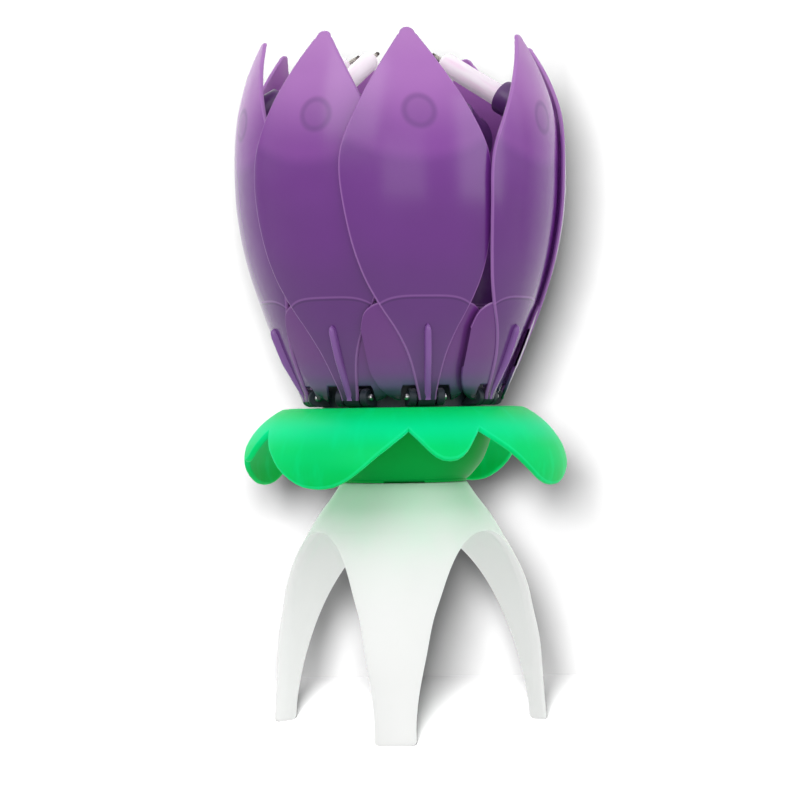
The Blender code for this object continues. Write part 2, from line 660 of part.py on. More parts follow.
def build_opening_gear(parts, plate_material, spring_material):
    """Build the plate that lifts the petals' tails, and the spring under it."""
    inner = POST_RADIUS + GAP
    outer = HUB_RADIUS - HUB_WALL - GAP
    profile = [(inner, PLATE_TOP_Z), (outer, PLATE_TOP_Z), (outer, PLATE_Z), (inner, PLATE_Z)]
    profile.append(profile[0])
    link("pusher_plate", turned_mesh("pusher_plate", profile, 28), parts, plate_material)
    low = HUB_Z + HUB_FLOOR + GAP + SPRING_WIRE_RADIUS
    high = PLATE_Z - GAP - SPRING_WIRE_RADIUS
    curve = bpy.data.curves.new("spring_wire", "CURVE")
    curve.dimensions = "3D"
    curve.bevel_depth = SPRING_WIRE_RADIUS
    curve.bevel_resolution = 1
    curve.use_fill_caps = True
    per_turn = 14
    count = SPRING_TURNS * per_turn
    spline = curve.splines.new("POLY")
    spline.points.add(count)
    for i, point in enumerate(spline.points):
        place = outward(360 * i / per_turn) * SPRING_RADIUS
        point.co = (place.x, place.y, low + (high - low) * i / count, 1.0)
    guide = bpy.data.objects.new("spring_wire", curve)
    bpy.context.scene.collection.objects.link(guide)
    wire = mesh_of(guide)
    bpy.data.objects.remove(guide)
    bpy.data.curves.remove(curve)

    def build(shape):
        shape.from_mesh(wire)
        bmesh.ops.remove_doubles(shape, verts=shape.verts, dist=MERGE)
    link("opening_spring", mesh_from("opening_spring", build), parts, spring_material)


def gear_mesh(name, teeth, phase_deg, centre, bottom, thickness):
    """Make a toothed wheel from its flat outline."""
    pitch_radius = GEAR_MODULE * teeth / 2
    tip = pitch_radius + TOOTH_ADDENDUM
    root = pitch_radius - TOOTH_DEDENDUM
    steps = ((-0.25, root), (-0.13, tip), (0.13, tip), (0.25, root))
    outline = []
    for tooth in range(teeth):
        for share, radius in steps:
            angle = math.radians(phase_deg) + 2 * math.pi * (tooth + share) / teeth
            outline.append((centre[0] + radius * math.cos(angle), centre[1] + radius * math.sin(angle)))
    return prism_mesh(name, outline, thickness, raised(bottom + thickness / 2))


def build_drive(parts, cutters, metal, plastic):
    """Build the motor, its pinion, the wheel on the hub's spindle and the screw that keeps the hub."""
    motor_place = (0.0, MOTOR_OFFSET)
    motor = cylinder_mesh("motor", MOTOR_RADIUS, MOTOR_HEIGHT, 20, Matrix.Translation((*motor_place, CELL_Z)))
    shaft_hole = cylinder_mesh("shaft_hole", SHAFT_RADIUS + GAP, MOTOR_HEIGHT, 8,
                               Matrix.Translation((*motor_place, CELL_Z + MOTOR_HEIGHT / 2)))
    link("motor", cut_or_join(motor, shaft_hole, "DIFFERENCE", cutters), parts, metal)
    half_tooth_deg = 180 / PINION_TEETH
    pinion = gear_mesh("motor_pinion", PINION_TEETH, half_tooth_deg - 90, motor_place, GEAR_Z, GEAR_THICKNESS)
    shaft_z = CELL_Z + MOTOR_HEIGHT / 2 + GAP
    shaft = cylinder_mesh("shaft", SHAFT_RADIUS, GEAR_Z + GEAR_THICKNESS / 2 - shaft_z, 8,
                          Matrix.Translation((*motor_place, shaft_z)))
    link("motor_pinion", cut_or_join(pinion, shaft, "UNION", cutters), parts, plastic)
    wheel = gear_mesh("hub_wheel", GEAR_TEETH, 90, (0.0, 0.0), GEAR_Z, GEAR_THICKNESS)
    bore = cylinder_mesh("wheel_bore", SPINDLE_RADIUS + GAP, GEAR_THICKNESS + 2 * OVERRUN, 12,
                         raised(GEAR_Z - OVERRUN))
    link("hub_wheel", cut_or_join(wheel, bore, "DIFFERENCE", cutters), parts, plastic)
    head_z = SPINDLE_Z - GAP - SCREW_HEAD_HEIGHT
    profile = [(0.0, SPINDLE_Z + SCREW_DEPTH), (SCREW_RADIUS, SPINDLE_Z + SCREW_DEPTH),
               (SCREW_RADIUS, SPINDLE_Z - GAP), (SCREW_HEAD_RADIUS, SPINDLE_Z - GAP),
               (SCREW_HEAD_RADIUS, head_z), (0.0, head_z)]
    link("hub_screw", turned_mesh("hub_screw", profile, 16), parts, metal)


def build_music_box(parts, cutters, board_material, chip_material, metal, brass, plastic):
    """Build what plays the tune, in the bowl, and the cover over it."""
    link("sounder", cylinder_mesh("sounder", SOUNDER_RADIUS, SOUNDER_THICKNESS, 24,
                                  raised(SOUNDER_Z)), parts, brass)
    link("circuit_board", cylinder_mesh("circuit_board", BOARD_RADIUS, BOARD_THICKNESS, 24,
                                        raised(BOARD_Z)), parts, board_material)
    link("melody_chip", cylinder_mesh("melody_chip", CHIP_RADIUS, CHIP_HEIGHT, 12,
                                      Matrix.Translation((*CHIP_PLACE, CELL_Z))), parts, chip_material)
    for i, sign in enumerate((-1, 1)):
        place = Matrix.Translation((sign * CELL_PLACE[0], CELL_PLACE[1], CELL_Z))
        cell = cylinder_mesh("button_cell", CELL_RADIUS, CELL_THICKNESS, 20, place)
        link(f"button_cell_{i + 1}", cell, parts, metal)
    strip = box_mesh("battery_strip", (STRIP_LENGTH, STRIP_WIDTH, STRIP_THICKNESS),
                     (0, CELL_PLACE[1] - STRIP_WIDTH / 4, STRIP_Z + STRIP_THICKNESS / 2))
    link("battery_strip", strip, parts, brass)
    cover_share = (COVER_Z - BOWL_FLOOR_Z) / (CALYX_TOP - CALYX_WALL / 2 - BOWL_FLOOR_Z)
    bowl_wall = smooth_share(tuple(reversed(BOWL_SHARES)), cover_share)
    radius = BOWL_BASE_RADIUS + (BOWL_TOP_RADIUS - BOWL_BASE_RADIUS) * bowl_wall - CALYX_WALL - 2 * GAP
    cover = cylinder_mesh("music_box_cover", radius, COVER_THICKNESS, 32, raised(COVER_Z))
    depth = COVER_THICKNESS + 2 * OVERRUN
    holes = [cylinder_mesh("hole", SPINDLE_RADIUS + GAP, depth, 16, raised(COVER_Z - OVERRUN)),
             cylinder_mesh("hole", SHAFT_RADIUS + GAP, depth, 8,
                           Matrix.Translation((0, MOTOR_OFFSET, COVER_Z - OVERRUN)))]
    cover = cut_or_join(cover, joined_mesh("cover_holes", holes), "DIFFERENCE", cutters)
    link("music_box_cover", cover, parts, plastic)


def main():
    """Clear the scene and build the candle."""
    for thing in list(bpy.data.objects):
        bpy.data.objects.remove(thing)
    parts = bpy.data.collections.new("musical_birthday_candle")
    cutters = bpy.data.collections.new("cutters")
    bpy.context.scene.collection.children.link(parts)
    bpy.context.scene.collection.children.link(cutters)
    purple = make_material("purple_plastic", (0.19, 0.07, 0.27), 0.25)
    green = make_material("green_plastic", (0.002, 0.69, 0.15), 0.3)
    white = make_material("white_plastic", (0.80, 0.83, 0.78), 0.35)
    wax = make_material("candle_wax", (0.85, 0.75, 0.78), 0.5)
    cotton = make_material("cotton", (0.75, 0.72, 0.68), 0.9)
    paper = make_material("rolled_paper", (0.80, 0.78, 0.74), 0.8)
    steel = make_material("steel", (0.60, 0.60, 0.62), 0.35, 1.0)
    brass = make_material("brass", (0.75, 0.55, 0.22), 0.35, 1.0)
    board = make_material("board", (0.02, 0.22, 0.08), 0.5)
    resin = make_material("resin", (0.01, 0.01, 0.01), 0.4)
    build_stand(parts, cutters, white)
    build_calyx(parts, cutters, green)
    build_music_box(parts, cutters, board, resin, steel, brass, white)
    build_drive(parts, cutters, steel, white)
    build_hub(parts, cutters, purple)
    build_pins(parts, steel)
    build_opening_gear(parts, white, steel)
    build_petals(parts, cutters, purple, wax, cotton)
    build_fountain(parts, cutters, paper, cotton)


if __name__ == "__main__":
    main()
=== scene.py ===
"""Musical birthday candle: finished meshes, materials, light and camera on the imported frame.

Units are metres, +Z is up, -Y is the front, and the origin is on the floor under the flower's turning axis.
Each piece rides on the body of the solid that it stands for.
"""
import json
import logging
import math
from dataclasses import dataclass, field
from enum import Enum
from typing import Sequence

import bmesh
import bpy
from mathutils import Matrix, Vector

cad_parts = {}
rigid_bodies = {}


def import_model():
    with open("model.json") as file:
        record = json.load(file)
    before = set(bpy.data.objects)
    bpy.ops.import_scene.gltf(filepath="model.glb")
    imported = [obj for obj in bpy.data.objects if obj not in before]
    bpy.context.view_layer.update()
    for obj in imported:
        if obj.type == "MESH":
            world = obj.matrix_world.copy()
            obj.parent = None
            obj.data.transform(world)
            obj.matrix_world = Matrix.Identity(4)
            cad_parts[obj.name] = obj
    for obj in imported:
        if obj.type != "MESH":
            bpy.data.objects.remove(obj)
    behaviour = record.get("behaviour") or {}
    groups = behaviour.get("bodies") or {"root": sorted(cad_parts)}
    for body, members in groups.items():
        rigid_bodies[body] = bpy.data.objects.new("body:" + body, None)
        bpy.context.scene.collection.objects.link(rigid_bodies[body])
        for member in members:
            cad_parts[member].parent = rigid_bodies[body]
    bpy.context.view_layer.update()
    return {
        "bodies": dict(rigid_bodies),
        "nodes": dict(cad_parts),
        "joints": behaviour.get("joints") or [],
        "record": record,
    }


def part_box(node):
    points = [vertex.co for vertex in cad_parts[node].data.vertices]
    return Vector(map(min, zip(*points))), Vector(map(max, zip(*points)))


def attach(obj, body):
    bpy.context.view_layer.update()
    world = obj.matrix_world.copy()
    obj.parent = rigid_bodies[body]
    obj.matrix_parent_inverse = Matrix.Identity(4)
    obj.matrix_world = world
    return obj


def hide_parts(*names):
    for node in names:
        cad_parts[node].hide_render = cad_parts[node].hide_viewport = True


LOG = logging.getLogger("birthday_candle")
WELD = 0.000002
MM = 0.001
EDGE_STEPS = 6
YARN_SIDES = 18
PLAIN_MARKS = (0.0, 0.0, 1.0)
SOFT_LIMITS = (0.12, 0.88)
WHITE = (1.0, 1.0, 1.0)

Colour = tuple[float, float, float]
Fade = tuple[float, float, float, float]
Table = tuple[tuple[float, float], ...]
Stops = tuple[tuple[float, Colour], ...]
Outline = list[tuple[float, float]]
Socket = bpy.types.NodeSocket
Mesh = bpy.types.Mesh


class Slot(Enum):
    """Material slots of the record; each new piece keeps one, which nothing here reads."""

    PURPLE = "purple_plastic"
    GREEN = "green_plastic"
    WHITE = "white_plastic"
    WAX = "candle_wax"
    COTTON = "cotton"
    PAPER = "rolled_paper"
    STEEL = "steel"


class Mark(Enum):
    """Numbers stored on the vertices, which the materials read."""

    SPAN = "span"
    SHARE = "share"
    EDGE = "edge_mm"


def smooth_share(table: Table, share: float) -> float:
    """Read a table with a smooth curve through its points.

    Args:
        table: Pairs of (share, value) with rising shares.
        share: Where to read it.

    Returns:
        The value at that share.
    """
    last = len(table) - 1
    index = next((i for i in range(last) if share <= table[i + 1][0]), last - 1)
    (x0, y0), (x1, y1) = table[index], table[index + 1]
    before, after = table[max(index - 1, 0)], table[min(index + 2, last)]
    slope0 = (y1 - before[1]) / (x1 - before[0])
    slope1 = (after[1] - y0) / (after[0] - x0)
    span = x1 - x0
    t = min(max((share - x0) / span, 0.0), 1.0)
    ease0 = (2 * t**3 - 3 * t**2 + 1) * y0 + (t**3 - 2 * t**2 + t) * span * slope0
    ease1 = (3 * t**2 - 2 * t**3) * y1 + (t**3 - t**2) * span * slope1
    return ease0 + ease1


def outward(azimuth_deg: float) -> Vector:
    """Return the level unit vector at an azimuth, 0 at the front and positive to the right."""
    angle = math.radians(azimuth_deg)
    return Vector((math.sin(angle), -math.cos(angle), 0.0))


def polar(azimuth_deg: float, radius: float, height: float) -> Vector:
    """Return the point at an azimuth, a radius and a height."""
    return outward(azimuth_deg) * radius + Vector((0, 0, height))


def facing(azimuth_deg: float) -> Matrix:
    """Return the turn that takes a local frame with its front at -Y to an azimuth."""
    return Matrix.Rotation(math.radians(azimuth_deg), 4, "Z")


def raised(height: float) -> Matrix:
    """Return a shift along the local Z axis."""
    return Matrix.Translation((0, 0, height))


def even(low: float, high: float, count: int) -> list[float]:
    """Return evenly spaced numbers from low to high."""
    return [low + (high - low) * i / count for i in range(count + 1)]


def eased(low: float, high: float, count: int) -> list[float]:
    """Return numbers from low to high that crowd together at both ends."""
    return [low + (high - low) * (1 - math.cos(math.pi * i / count)) / 2 for i in range(count + 1)]


def circle(count: int) -> list[float]:
    """Return the angles of equal steps round a full turn."""
    return [2 * math.pi * i / count for i in range(count)]


def rounded_outline(outline: Outline, radius: float, steps: int = 3) -> Outline:
    """Round the inner corners of an open outline.

    Args:
        outline: Points of the outline.
        radius: How far from a corner the rounding starts.
        steps: Number of stretches in a corner.

    Returns:
        The outline with its corners rounded.
    """
    smooth = [outline[0]]
    for before, corner, after in zip(outline, outline[1:], outline[2:]):
        a, b, c = Vector(before), Vector(corner), Vector(after)
        reach = min(radius, (a - b).length / 2.2, (c - b).length / 2.2)
        start = b + (a - b).normalized() * reach
        end = b + (c - b).normalized() * reach
        for t in even(0.0, 1.0, steps):
            point = start * (1 - t) ** 2 + b * 2 * t * (1 - t) + end * t**2
            smooth.append((point.x, point.y))
    return [*smooth, outline[-1]]


def thin_section(low: float, high: float, edge: float, half: float, steps: int) -> Outline:
    """Outline a thin section with two flat faces and two round edges.

    Args:
        low: Where the section starts.
        high: Where it ends.
        edge: How far each round edge reaches in.
        half: Half its thickness.
        steps: Number of stretches along a face.

    Returns:
        Pairs of (place, depth) round the section.
    """
    face = even(low + edge, high - edge, steps)
    bends = eased(0, math.pi, EDGE_STEPS)[1:-1]
    loop = [(place, -half) for place in face]
    loop += [(face[-1] + edge * math.sin(a), -half * math.cos(a)) for a in bends]
    loop += [(place, half) for place in reversed(face)]
    return loop + [(face[0] - edge * math.sin(a), half * math.cos(a)) for a in bends]


@dataclass
class Skin:
    """Points, faces and vertex marks that are gathered for one mesh."""

    points: list[Vector] = field(default_factory=list)
    faces: list[tuple[int, ...]] = field(default_factory=list)
    marks: dict[Mark, list[float]] = field(default_factory=lambda: {mark: [] for mark in Mark})

    def ring(self, points: Sequence[Vector], marks: Sequence[Sequence[float]] = ()) -> list[int]:
        """Add a row of points.

        Args:
            points: Places of the points.
            marks: A (span, share, edge) triple for each point, or nothing.

        Returns:
            The numbers of the new points.
        """
        first = len(self.points)
        self.points += points
        for values in marks or [PLAIN_MARKS] * len(points):
            for mark, value in zip(Mark, values):
                self.marks[mark].append(value)
        return list(range(first, len(self.points)))

    def bridge(self, first: Sequence[int], second: Sequence[int], closed: bool = True) -> None:
        """Add the faces between two rows.

        Args:
            first: Numbers of the first row's points.
            second: As many of the second row's.
            closed: Whether the rows run all the way round.
        """
        count = len(first)
        for i in range(count if closed else count - 1):
            j = (i + 1) % count
            self.faces.append((first[i], first[j], second[j], second[i]))

    def loft(self, rows: Sequence[list[int]], *caps: int) -> None:
        """Add the faces along a run of rows.

        Args:
            rows: The rows, each a list of point numbers.
            caps: Indices of the rows that are closed with one face.
        """
        for first, second in zip(rows, rows[1:]):
            self.bridge(first, second)
        self.faces += [tuple(rows[index]) for index in caps]

    def add(self, other: "Skin", matrix: Matrix) -> None:
        """Take in another skin, moved by a matrix.

        Args:
            other: The skin to take in.
            matrix: Its move.
        """
        first = len(self.points)
        self.points += [matrix @ point for point in other.points]
        self.faces += [tuple(first + i for i in face) for face in other.faces]
        for mark in Mark:
            self.marks[mark] += other.marks[mark]

    def mesh(self, name: str, sharp_deg: float = 40.0) -> Mesh:
        """Weld the points and finish the mesh.

        Args:
            name: Name of the mesh.
            sharp_deg: Faces that meet at more than this angle keep a sharp edge.

        Returns:
            A smooth shaded mesh whose faces look outward.
        """
        mesh = bpy.data.meshes.new(name)
        mesh.from_pydata([tuple(point) for point in self.points], [], self.faces)
        for mark in Mark:
            layer = mesh.attributes.new(mark.value, "FLOAT", "POINT")
            layer.data.foreach_set("value", self.marks[mark])
        shape = bmesh.new()
        shape.from_mesh(mesh)
        bmesh.ops.remove_doubles(shape, verts=shape.verts, dist=WELD)
        bmesh.ops.dissolve_degenerate(shape, edges=shape.edges, dist=WELD)
        loose = [point for point in shape.verts if not point.link_faces]
        bmesh.ops.delete(shape, geom=loose, context="VERTS")
        bmesh.ops.recalc_face_normals(shape, faces=shape.faces)
        shape.to_mesh(mesh)
        shape.free()
        mesh.shade_smooth()
        mesh.set_sharp_from_angle(angle=math.radians(sharp_deg))
        return mesh


def turned(profile: Outline, sides: int, matrix: Matrix = Matrix.Identity(4)) -> Skin:
    """Turn a profile round the local Z axis.

    Args:
        profile: Points of the profile, as (radius, height).
        sides: Number of columns.
        matrix: Place of the local frame.

    Returns:
        The turned skin, whose share mark runs along the profile.
    """
    skin = Skin()
    rows = []
    for row, (radius, height) in enumerate(profile):
        points = [matrix @ Vector((radius * math.sin(a), -radius * math.cos(a), height)) for a in circle(sides)]
        rows.append(skin.ring(points, [(i / sides, row / (len(profile) - 1), 1.0) for i in range(sides)]))
    skin.loft(rows)
    return skin


def twisted(radius: float, length: float, frame: Matrix, steps: int, wind: float, bend: float = 0.0) -> Skin:
    """Make twisted yarn along the local Z axis.

    Args:
        radius: Outer radius.
        length: Length.
        frame: Place of the local frame.
        steps: Number of stretches along it.
        wind: How far its three strands wind, in radians of their wave.
        bend: How strongly its upper half leans aside.

    Returns:
        The closed skin.
    """
    skin = Skin()
    rows = []
    for t in even(0.0, 1.0, steps):
        aside = bend * max(t - 0.45, 0.0) ** 1.5
        points = []
        for angle in circle(YARN_SIDES):
            reach = radius * (0.80 + 0.20 * abs(math.cos(1.5 * angle + wind * t)))
            points.append(frame @ Vector((reach * math.sin(angle) + aside, reach * math.cos(angle), length * t)))
        rows.append(skin.ring(points, [(i / YARN_SIDES, t, 1.0) for i in range(YARN_SIDES)]))
    skin.loft(rows, 0, -1)
    return skin


def plate(outline: Outline, thickness: float, matrix: Matrix, bevel: float = 0.0002) -> Skin:
    """Make a flat plate of any outline, with softened edges.

    Args:
        outline: Corners in the local XY plane.
        thickness: Thickness along the local Z axis, centred on the plane.
        matrix: Place of the local frame.
        bevel: How far the faces draw in at their edges.

    Returns:
        The closed skin.
    """
    centre = Vector((sum(x for x, _ in outline), sum(y for _, y in outline))) / len(outline)
    skin = Skin()
    half = thickness / 2
    rows = []
    for height, inset in ((-half, bevel), (bevel - half, 0.0), (half - bevel, 0.0), (half, bevel)):
        row = []
        for x, y in outline:
            toward = centre - Vector((x, y))
            drawn = Vector((x, y)) + toward * min(inset / max(toward.length, WELD), 1.0)
            row.append(matrix @ Vector((drawn.x, drawn.y, height)))
        rows.append(skin.ring(row))
    skin.loft(rows, 0, -1)
    return skin


def ring_wall(radii: tuple[float, float], heights: tuple[float, float], azimuths: Sequence[float]) -> Skin:
    """Make a stretch of upright wall that follows a ring.

    Args:
        radii: Its inner and outer radius.
        heights: Its lower and upper edge.
        azimuths: Where its rows stand, in degrees.

    Returns:
        The closed skin.
    """
    (inner, outer), (low, high) = radii, heights
    corners = ((outer, low), (outer, high), (inner, high), (inner, low))
    skin = Skin()
    rows = [skin.ring([polar(azimuth, radius, height) for radius, height in corners]) for azimuth in azimuths]
    skin.loft(rows, 0, -1)
    return skin


class Web:
    """Places nodes in a node tree and links them."""

    def __init__(self, tree: bpy.types.NodeTree, effects: "Effects | None" = None) -> None:
        """Keep the tree to work in and the shared groups."""
        self.tree = tree
        self.effects = effects

    def feed(self, socket: Socket, value: object) -> None:
        """Link an input to an output, or set its value.

        Args:
            socket: The input.
            value: An output, a colour or a number.
        """
        if isinstance(value, Socket):
            self.tree.links.new(value, socket)
        elif isinstance(value, tuple) and socket.type == "RGBA":
            socket.default_value = (*value[:3], 1.0)
        else:
            socket.default_value = value

    def node(self, kind: str, settings: dict | None = None, **inputs: object) -> bpy.types.Node:
        """Add a node.

        Args:
            kind: Type of the node.
            settings: Properties of the node itself.
            inputs: Values or outputs for its inputs, with _ for a space in their names.

        Returns:
            The new node.
        """
        node = self.tree.nodes.new(kind)
        for name, value in (settings or {}).items():
            setattr(node, name, value)
        for name, value in inputs.items():
            self.feed(node.inputs[name.replace("_", " ")], value)
        return node

    def group(self, tree: bpy.types.NodeTree, **inputs: float) -> bpy.types.Node:
        """Place a shared group."""
        return self.node("ShaderNodeGroup", {"node_tree": tree}, **inputs)

    def rim(self, width_mm: float, strength: float) -> Socket:
        """Return a mask of the band along a moulding's edge."""
        return self.times(self.group(self.effects.rim, Width=width_mm).outputs[0], strength)

    def calc(self, operation: str, first: object, second: object = 0.0, clamp: bool = False) -> Socket:
        """Work out a number from two others.

        Args:
            operation: Name of the Math node's operation.
            first: Its first value or output.
            second: Its second value or output.
            clamp: Whether the result stays between 0 and 1.

        Returns:
            The result's output.
        """
        node = self.node("ShaderNodeMath", {"operation": operation, "use_clamp": clamp})
        self.feed(node.inputs[0], first)
        self.feed(node.inputs[1], second)
        return node.outputs[0]

    def plus(self, first: object, second: object) -> Socket:
        """Return a sum."""
        return self.calc("ADD", first, second)

    def minus(self, first: object, second: object) -> Socket:
        """Return a difference."""
        return self.calc("SUBTRACT", first, second)

    def times(self, first: object, second: object) -> Socket:
        """Return a product."""
        return self.calc("MULTIPLY", first, second)

    def larger(self, first: object, second: object) -> Socket:
        """Return the larger of two numbers."""
        return self.calc("MAXIMUM", first, second)

    def size(self, value: object) -> Socket:
        """Return a number without its sign."""
        return self.calc("ABSOLUTE", value)

    def step(self, value: object, low: float, high: float, start: float = 0.0, end: float = 1.0) -> Socket:
        """Make a soft step of a value.

        Args:
            value: What it follows.
            low: Where the step begins.
            high: Where it is done.
            start: The result up to low.
            end: The result from high on.

        Returns:
            The result's output.
        """
        node = self.node("ShaderNodeMapRange", {"interpolation_type": "SMOOTHSTEP"}, Value=value, From_Min=low,
                         From_Max=high, To_Min=start, To_Max=end)
        return node.outputs["Result"]

    def blend(self, factor: object, first: object, second: object, mode: str = "MIX") -> Socket:
        """Mix two colours.

        Args:
            factor: The share of the second colour.
            first: The colour at 0.
            second: The colour at 1.
            mode: How they are mixed.

        Returns:
            The mixed colour's output.
        """
        node = self.node("ShaderNodeMix", {"data_type": "RGBA", "blend_type": mode})
        for index, value in ((0, factor), (6, first), (7, second)):
            self.feed(node.inputs[index], value)
        return node.outputs[2]

    def ramp(self, value: object, stops: Stops) -> Socket:
        """Make a colour that changes softly through some stops.

        Args:
            value: What it follows.
            stops: Pairs of (place, colour).

        Returns:
            The colour's output.
        """
        node = self.node("ShaderNodeValToRGB", None, Fac=value)
        node.color_ramp.interpolation = "EASE"
        while len(node.color_ramp.elements) < len(stops):
            node.color_ramp.elements.new(0.5)
        for element, (place, colour) in zip(node.color_ramp.elements, stops):
            element.position = place
            element.color = (*colour, 1.0)
        return node.outputs[0]

    def noise(self, vector: object, scale: float = 1.0, detail: float = 2.0) -> Socket:
        """Return noise between 0 and 1 at a place."""
        return self.node("ShaderNodeTexNoise", None, Vector=vector, Scale=scale, Detail=detail).outputs[0]

    def mark(self, mark: Mark) -> Socket:
        """Return a mark that is stored on the vertices."""
        return self.node("ShaderNodeAttribute", {"attribute_name": mark.value}).outputs["Fac"]

    def flow(self, across: float, along: float, detail: float) -> Socket:
        """Return noise that follows the marks, with a scale for each direction."""
        span, share = self.times(self.mark(Mark.SPAN), across), self.times(self.mark(Mark.SHARE), along)
        return self.noise(self.joined(span, share, 0.0), 1.0, detail)

    def place(self) -> Socket:
        """Return the place on the object, in metres."""
        return self.node("ShaderNodeTexCoord").outputs["Object"]

    def stretched(self, scale: Colour) -> Socket:
        """Return the place on the object with each axis scaled."""
        return self.node("ShaderNodeMapping", None, Vector=self.place(), Scale=scale).outputs[0]

    def distance(self) -> Socket:
        """Return the distance from the object's origin."""
        return self.node("ShaderNodeVectorMath", {"operation": "LENGTH"}, Vector=self.place()).outputs["Value"]

    def height(self, vector: object) -> Socket:
        """Return the Z of a vector."""
        return self.node("ShaderNodeSeparateXYZ", None, Vector=vector).outputs["Z"]

    def joined(self, x: object, y: object, z: object) -> Socket:
        """Return a vector of three numbers."""
        return self.node("ShaderNodeCombineXYZ", None, X=x, Y=y, Z=z).outputs[0]

    def grey(self, tone: Socket) -> Socket:
        """Return a grey of a tone."""
        return self.joined(tone, tone, tone)


@dataclass
class Effects:
    """Node groups that several finishes share, each built once."""

    wave_scale: float = 130.0
    skin_scale: float = 2600.0
    mottle_scale: float = 60.0
    rim_fade: Fade = (0.5, 1.0, 1.0, 0.0)
    line_scale: Colour = (2400.0, 2400.0, 90.0)
    line_limits: tuple[float, float] = (0.66, 0.78)
    speck_scale: float = 1500.0
    speck_limits: tuple[float, float] = (0.74, 0.80)
    moulding: bpy.types.NodeTree = field(init=False)
    rim: bpy.types.NodeTree = field(init=False)
    wear: bpy.types.NodeTree = field(init=False)

    def __post_init__(self) -> None:
        """Build each group."""
        self.moulding, self.rim, self.wear = self._moulding(), self._rim(), self._wear()

    def _tree(self, name: str, inputs: dict[str, float], outputs: Sequence[str]) -> tuple[Web, dict, dict]:
        """Start a group.

        Args:
            name: Name of the group.
            inputs: Names and first values of its inputs.
            outputs: Names of its outputs.

        Returns:
            The web to work in, what the inputs give and what the outputs take.
        """
        tree = bpy.data.node_groups.new(name, "ShaderNodeTree")
        for label, value in inputs.items():
            socket = tree.interface.new_socket(label, in_out="INPUT", socket_type="NodeSocketFloat")
            socket.default_value = value
        for label in outputs:
            tree.interface.new_socket(label, in_out="OUTPUT", socket_type="NodeSocketFloat")
        return Web(tree), tree.nodes.new("NodeGroupInput").outputs, tree.nodes.new("NodeGroupOutput").inputs

    def _moulding(self) -> bpy.types.NodeTree:
        """Make slow waves and a fine skin, as on moulded plastic.

        Returns:
            The group.
        """
        web, given, out = self._tree("moulding", {"Wave": 0.5, "Skin": 0.3}, ("Height", "Mottle"))
        wave = web.times(web.noise(web.place(), self.wave_scale), given["Wave"])
        skin = web.times(web.noise(web.place(), self.skin_scale, 3.0), given["Skin"])
        web.feed(out["Height"], web.plus(wave, skin))
        web.feed(out["Mottle"], web.step(web.noise(web.place(), self.mottle_scale, 4.0), *SOFT_LIMITS))
        return web.tree

    def _rim(self) -> bpy.types.NodeTree:
        """Mask the band along a moulding's edge.

        Returns:
            The group.
        """
        web, given, out = self._tree("rim", {"Width": 0.4}, ("Mask",))
        far = web.calc("DIVIDE", web.mark(Mark.EDGE), given["Width"])
        web.feed(out["Mask"], web.step(far, *self.rim_fade))
        return web.tree

    def _wear(self) -> bpy.types.NodeTree:
        """Make fine hairlines and specks of dust that dull a gloss.

        Returns:
            The group.
        """
        web, given, out = self._tree("wear", {"Amount": 0.5}, ("Mask",))
        lines = web.step(web.noise(web.stretched(self.line_scale)), *self.line_limits)
        specks = web.step(web.noise(web.place(), self.speck_scale, 1.0), *self.speck_limits)
        web.feed(out["Mask"], web.times(web.larger(lines, specks), given["Amount"]))
        return web.tree


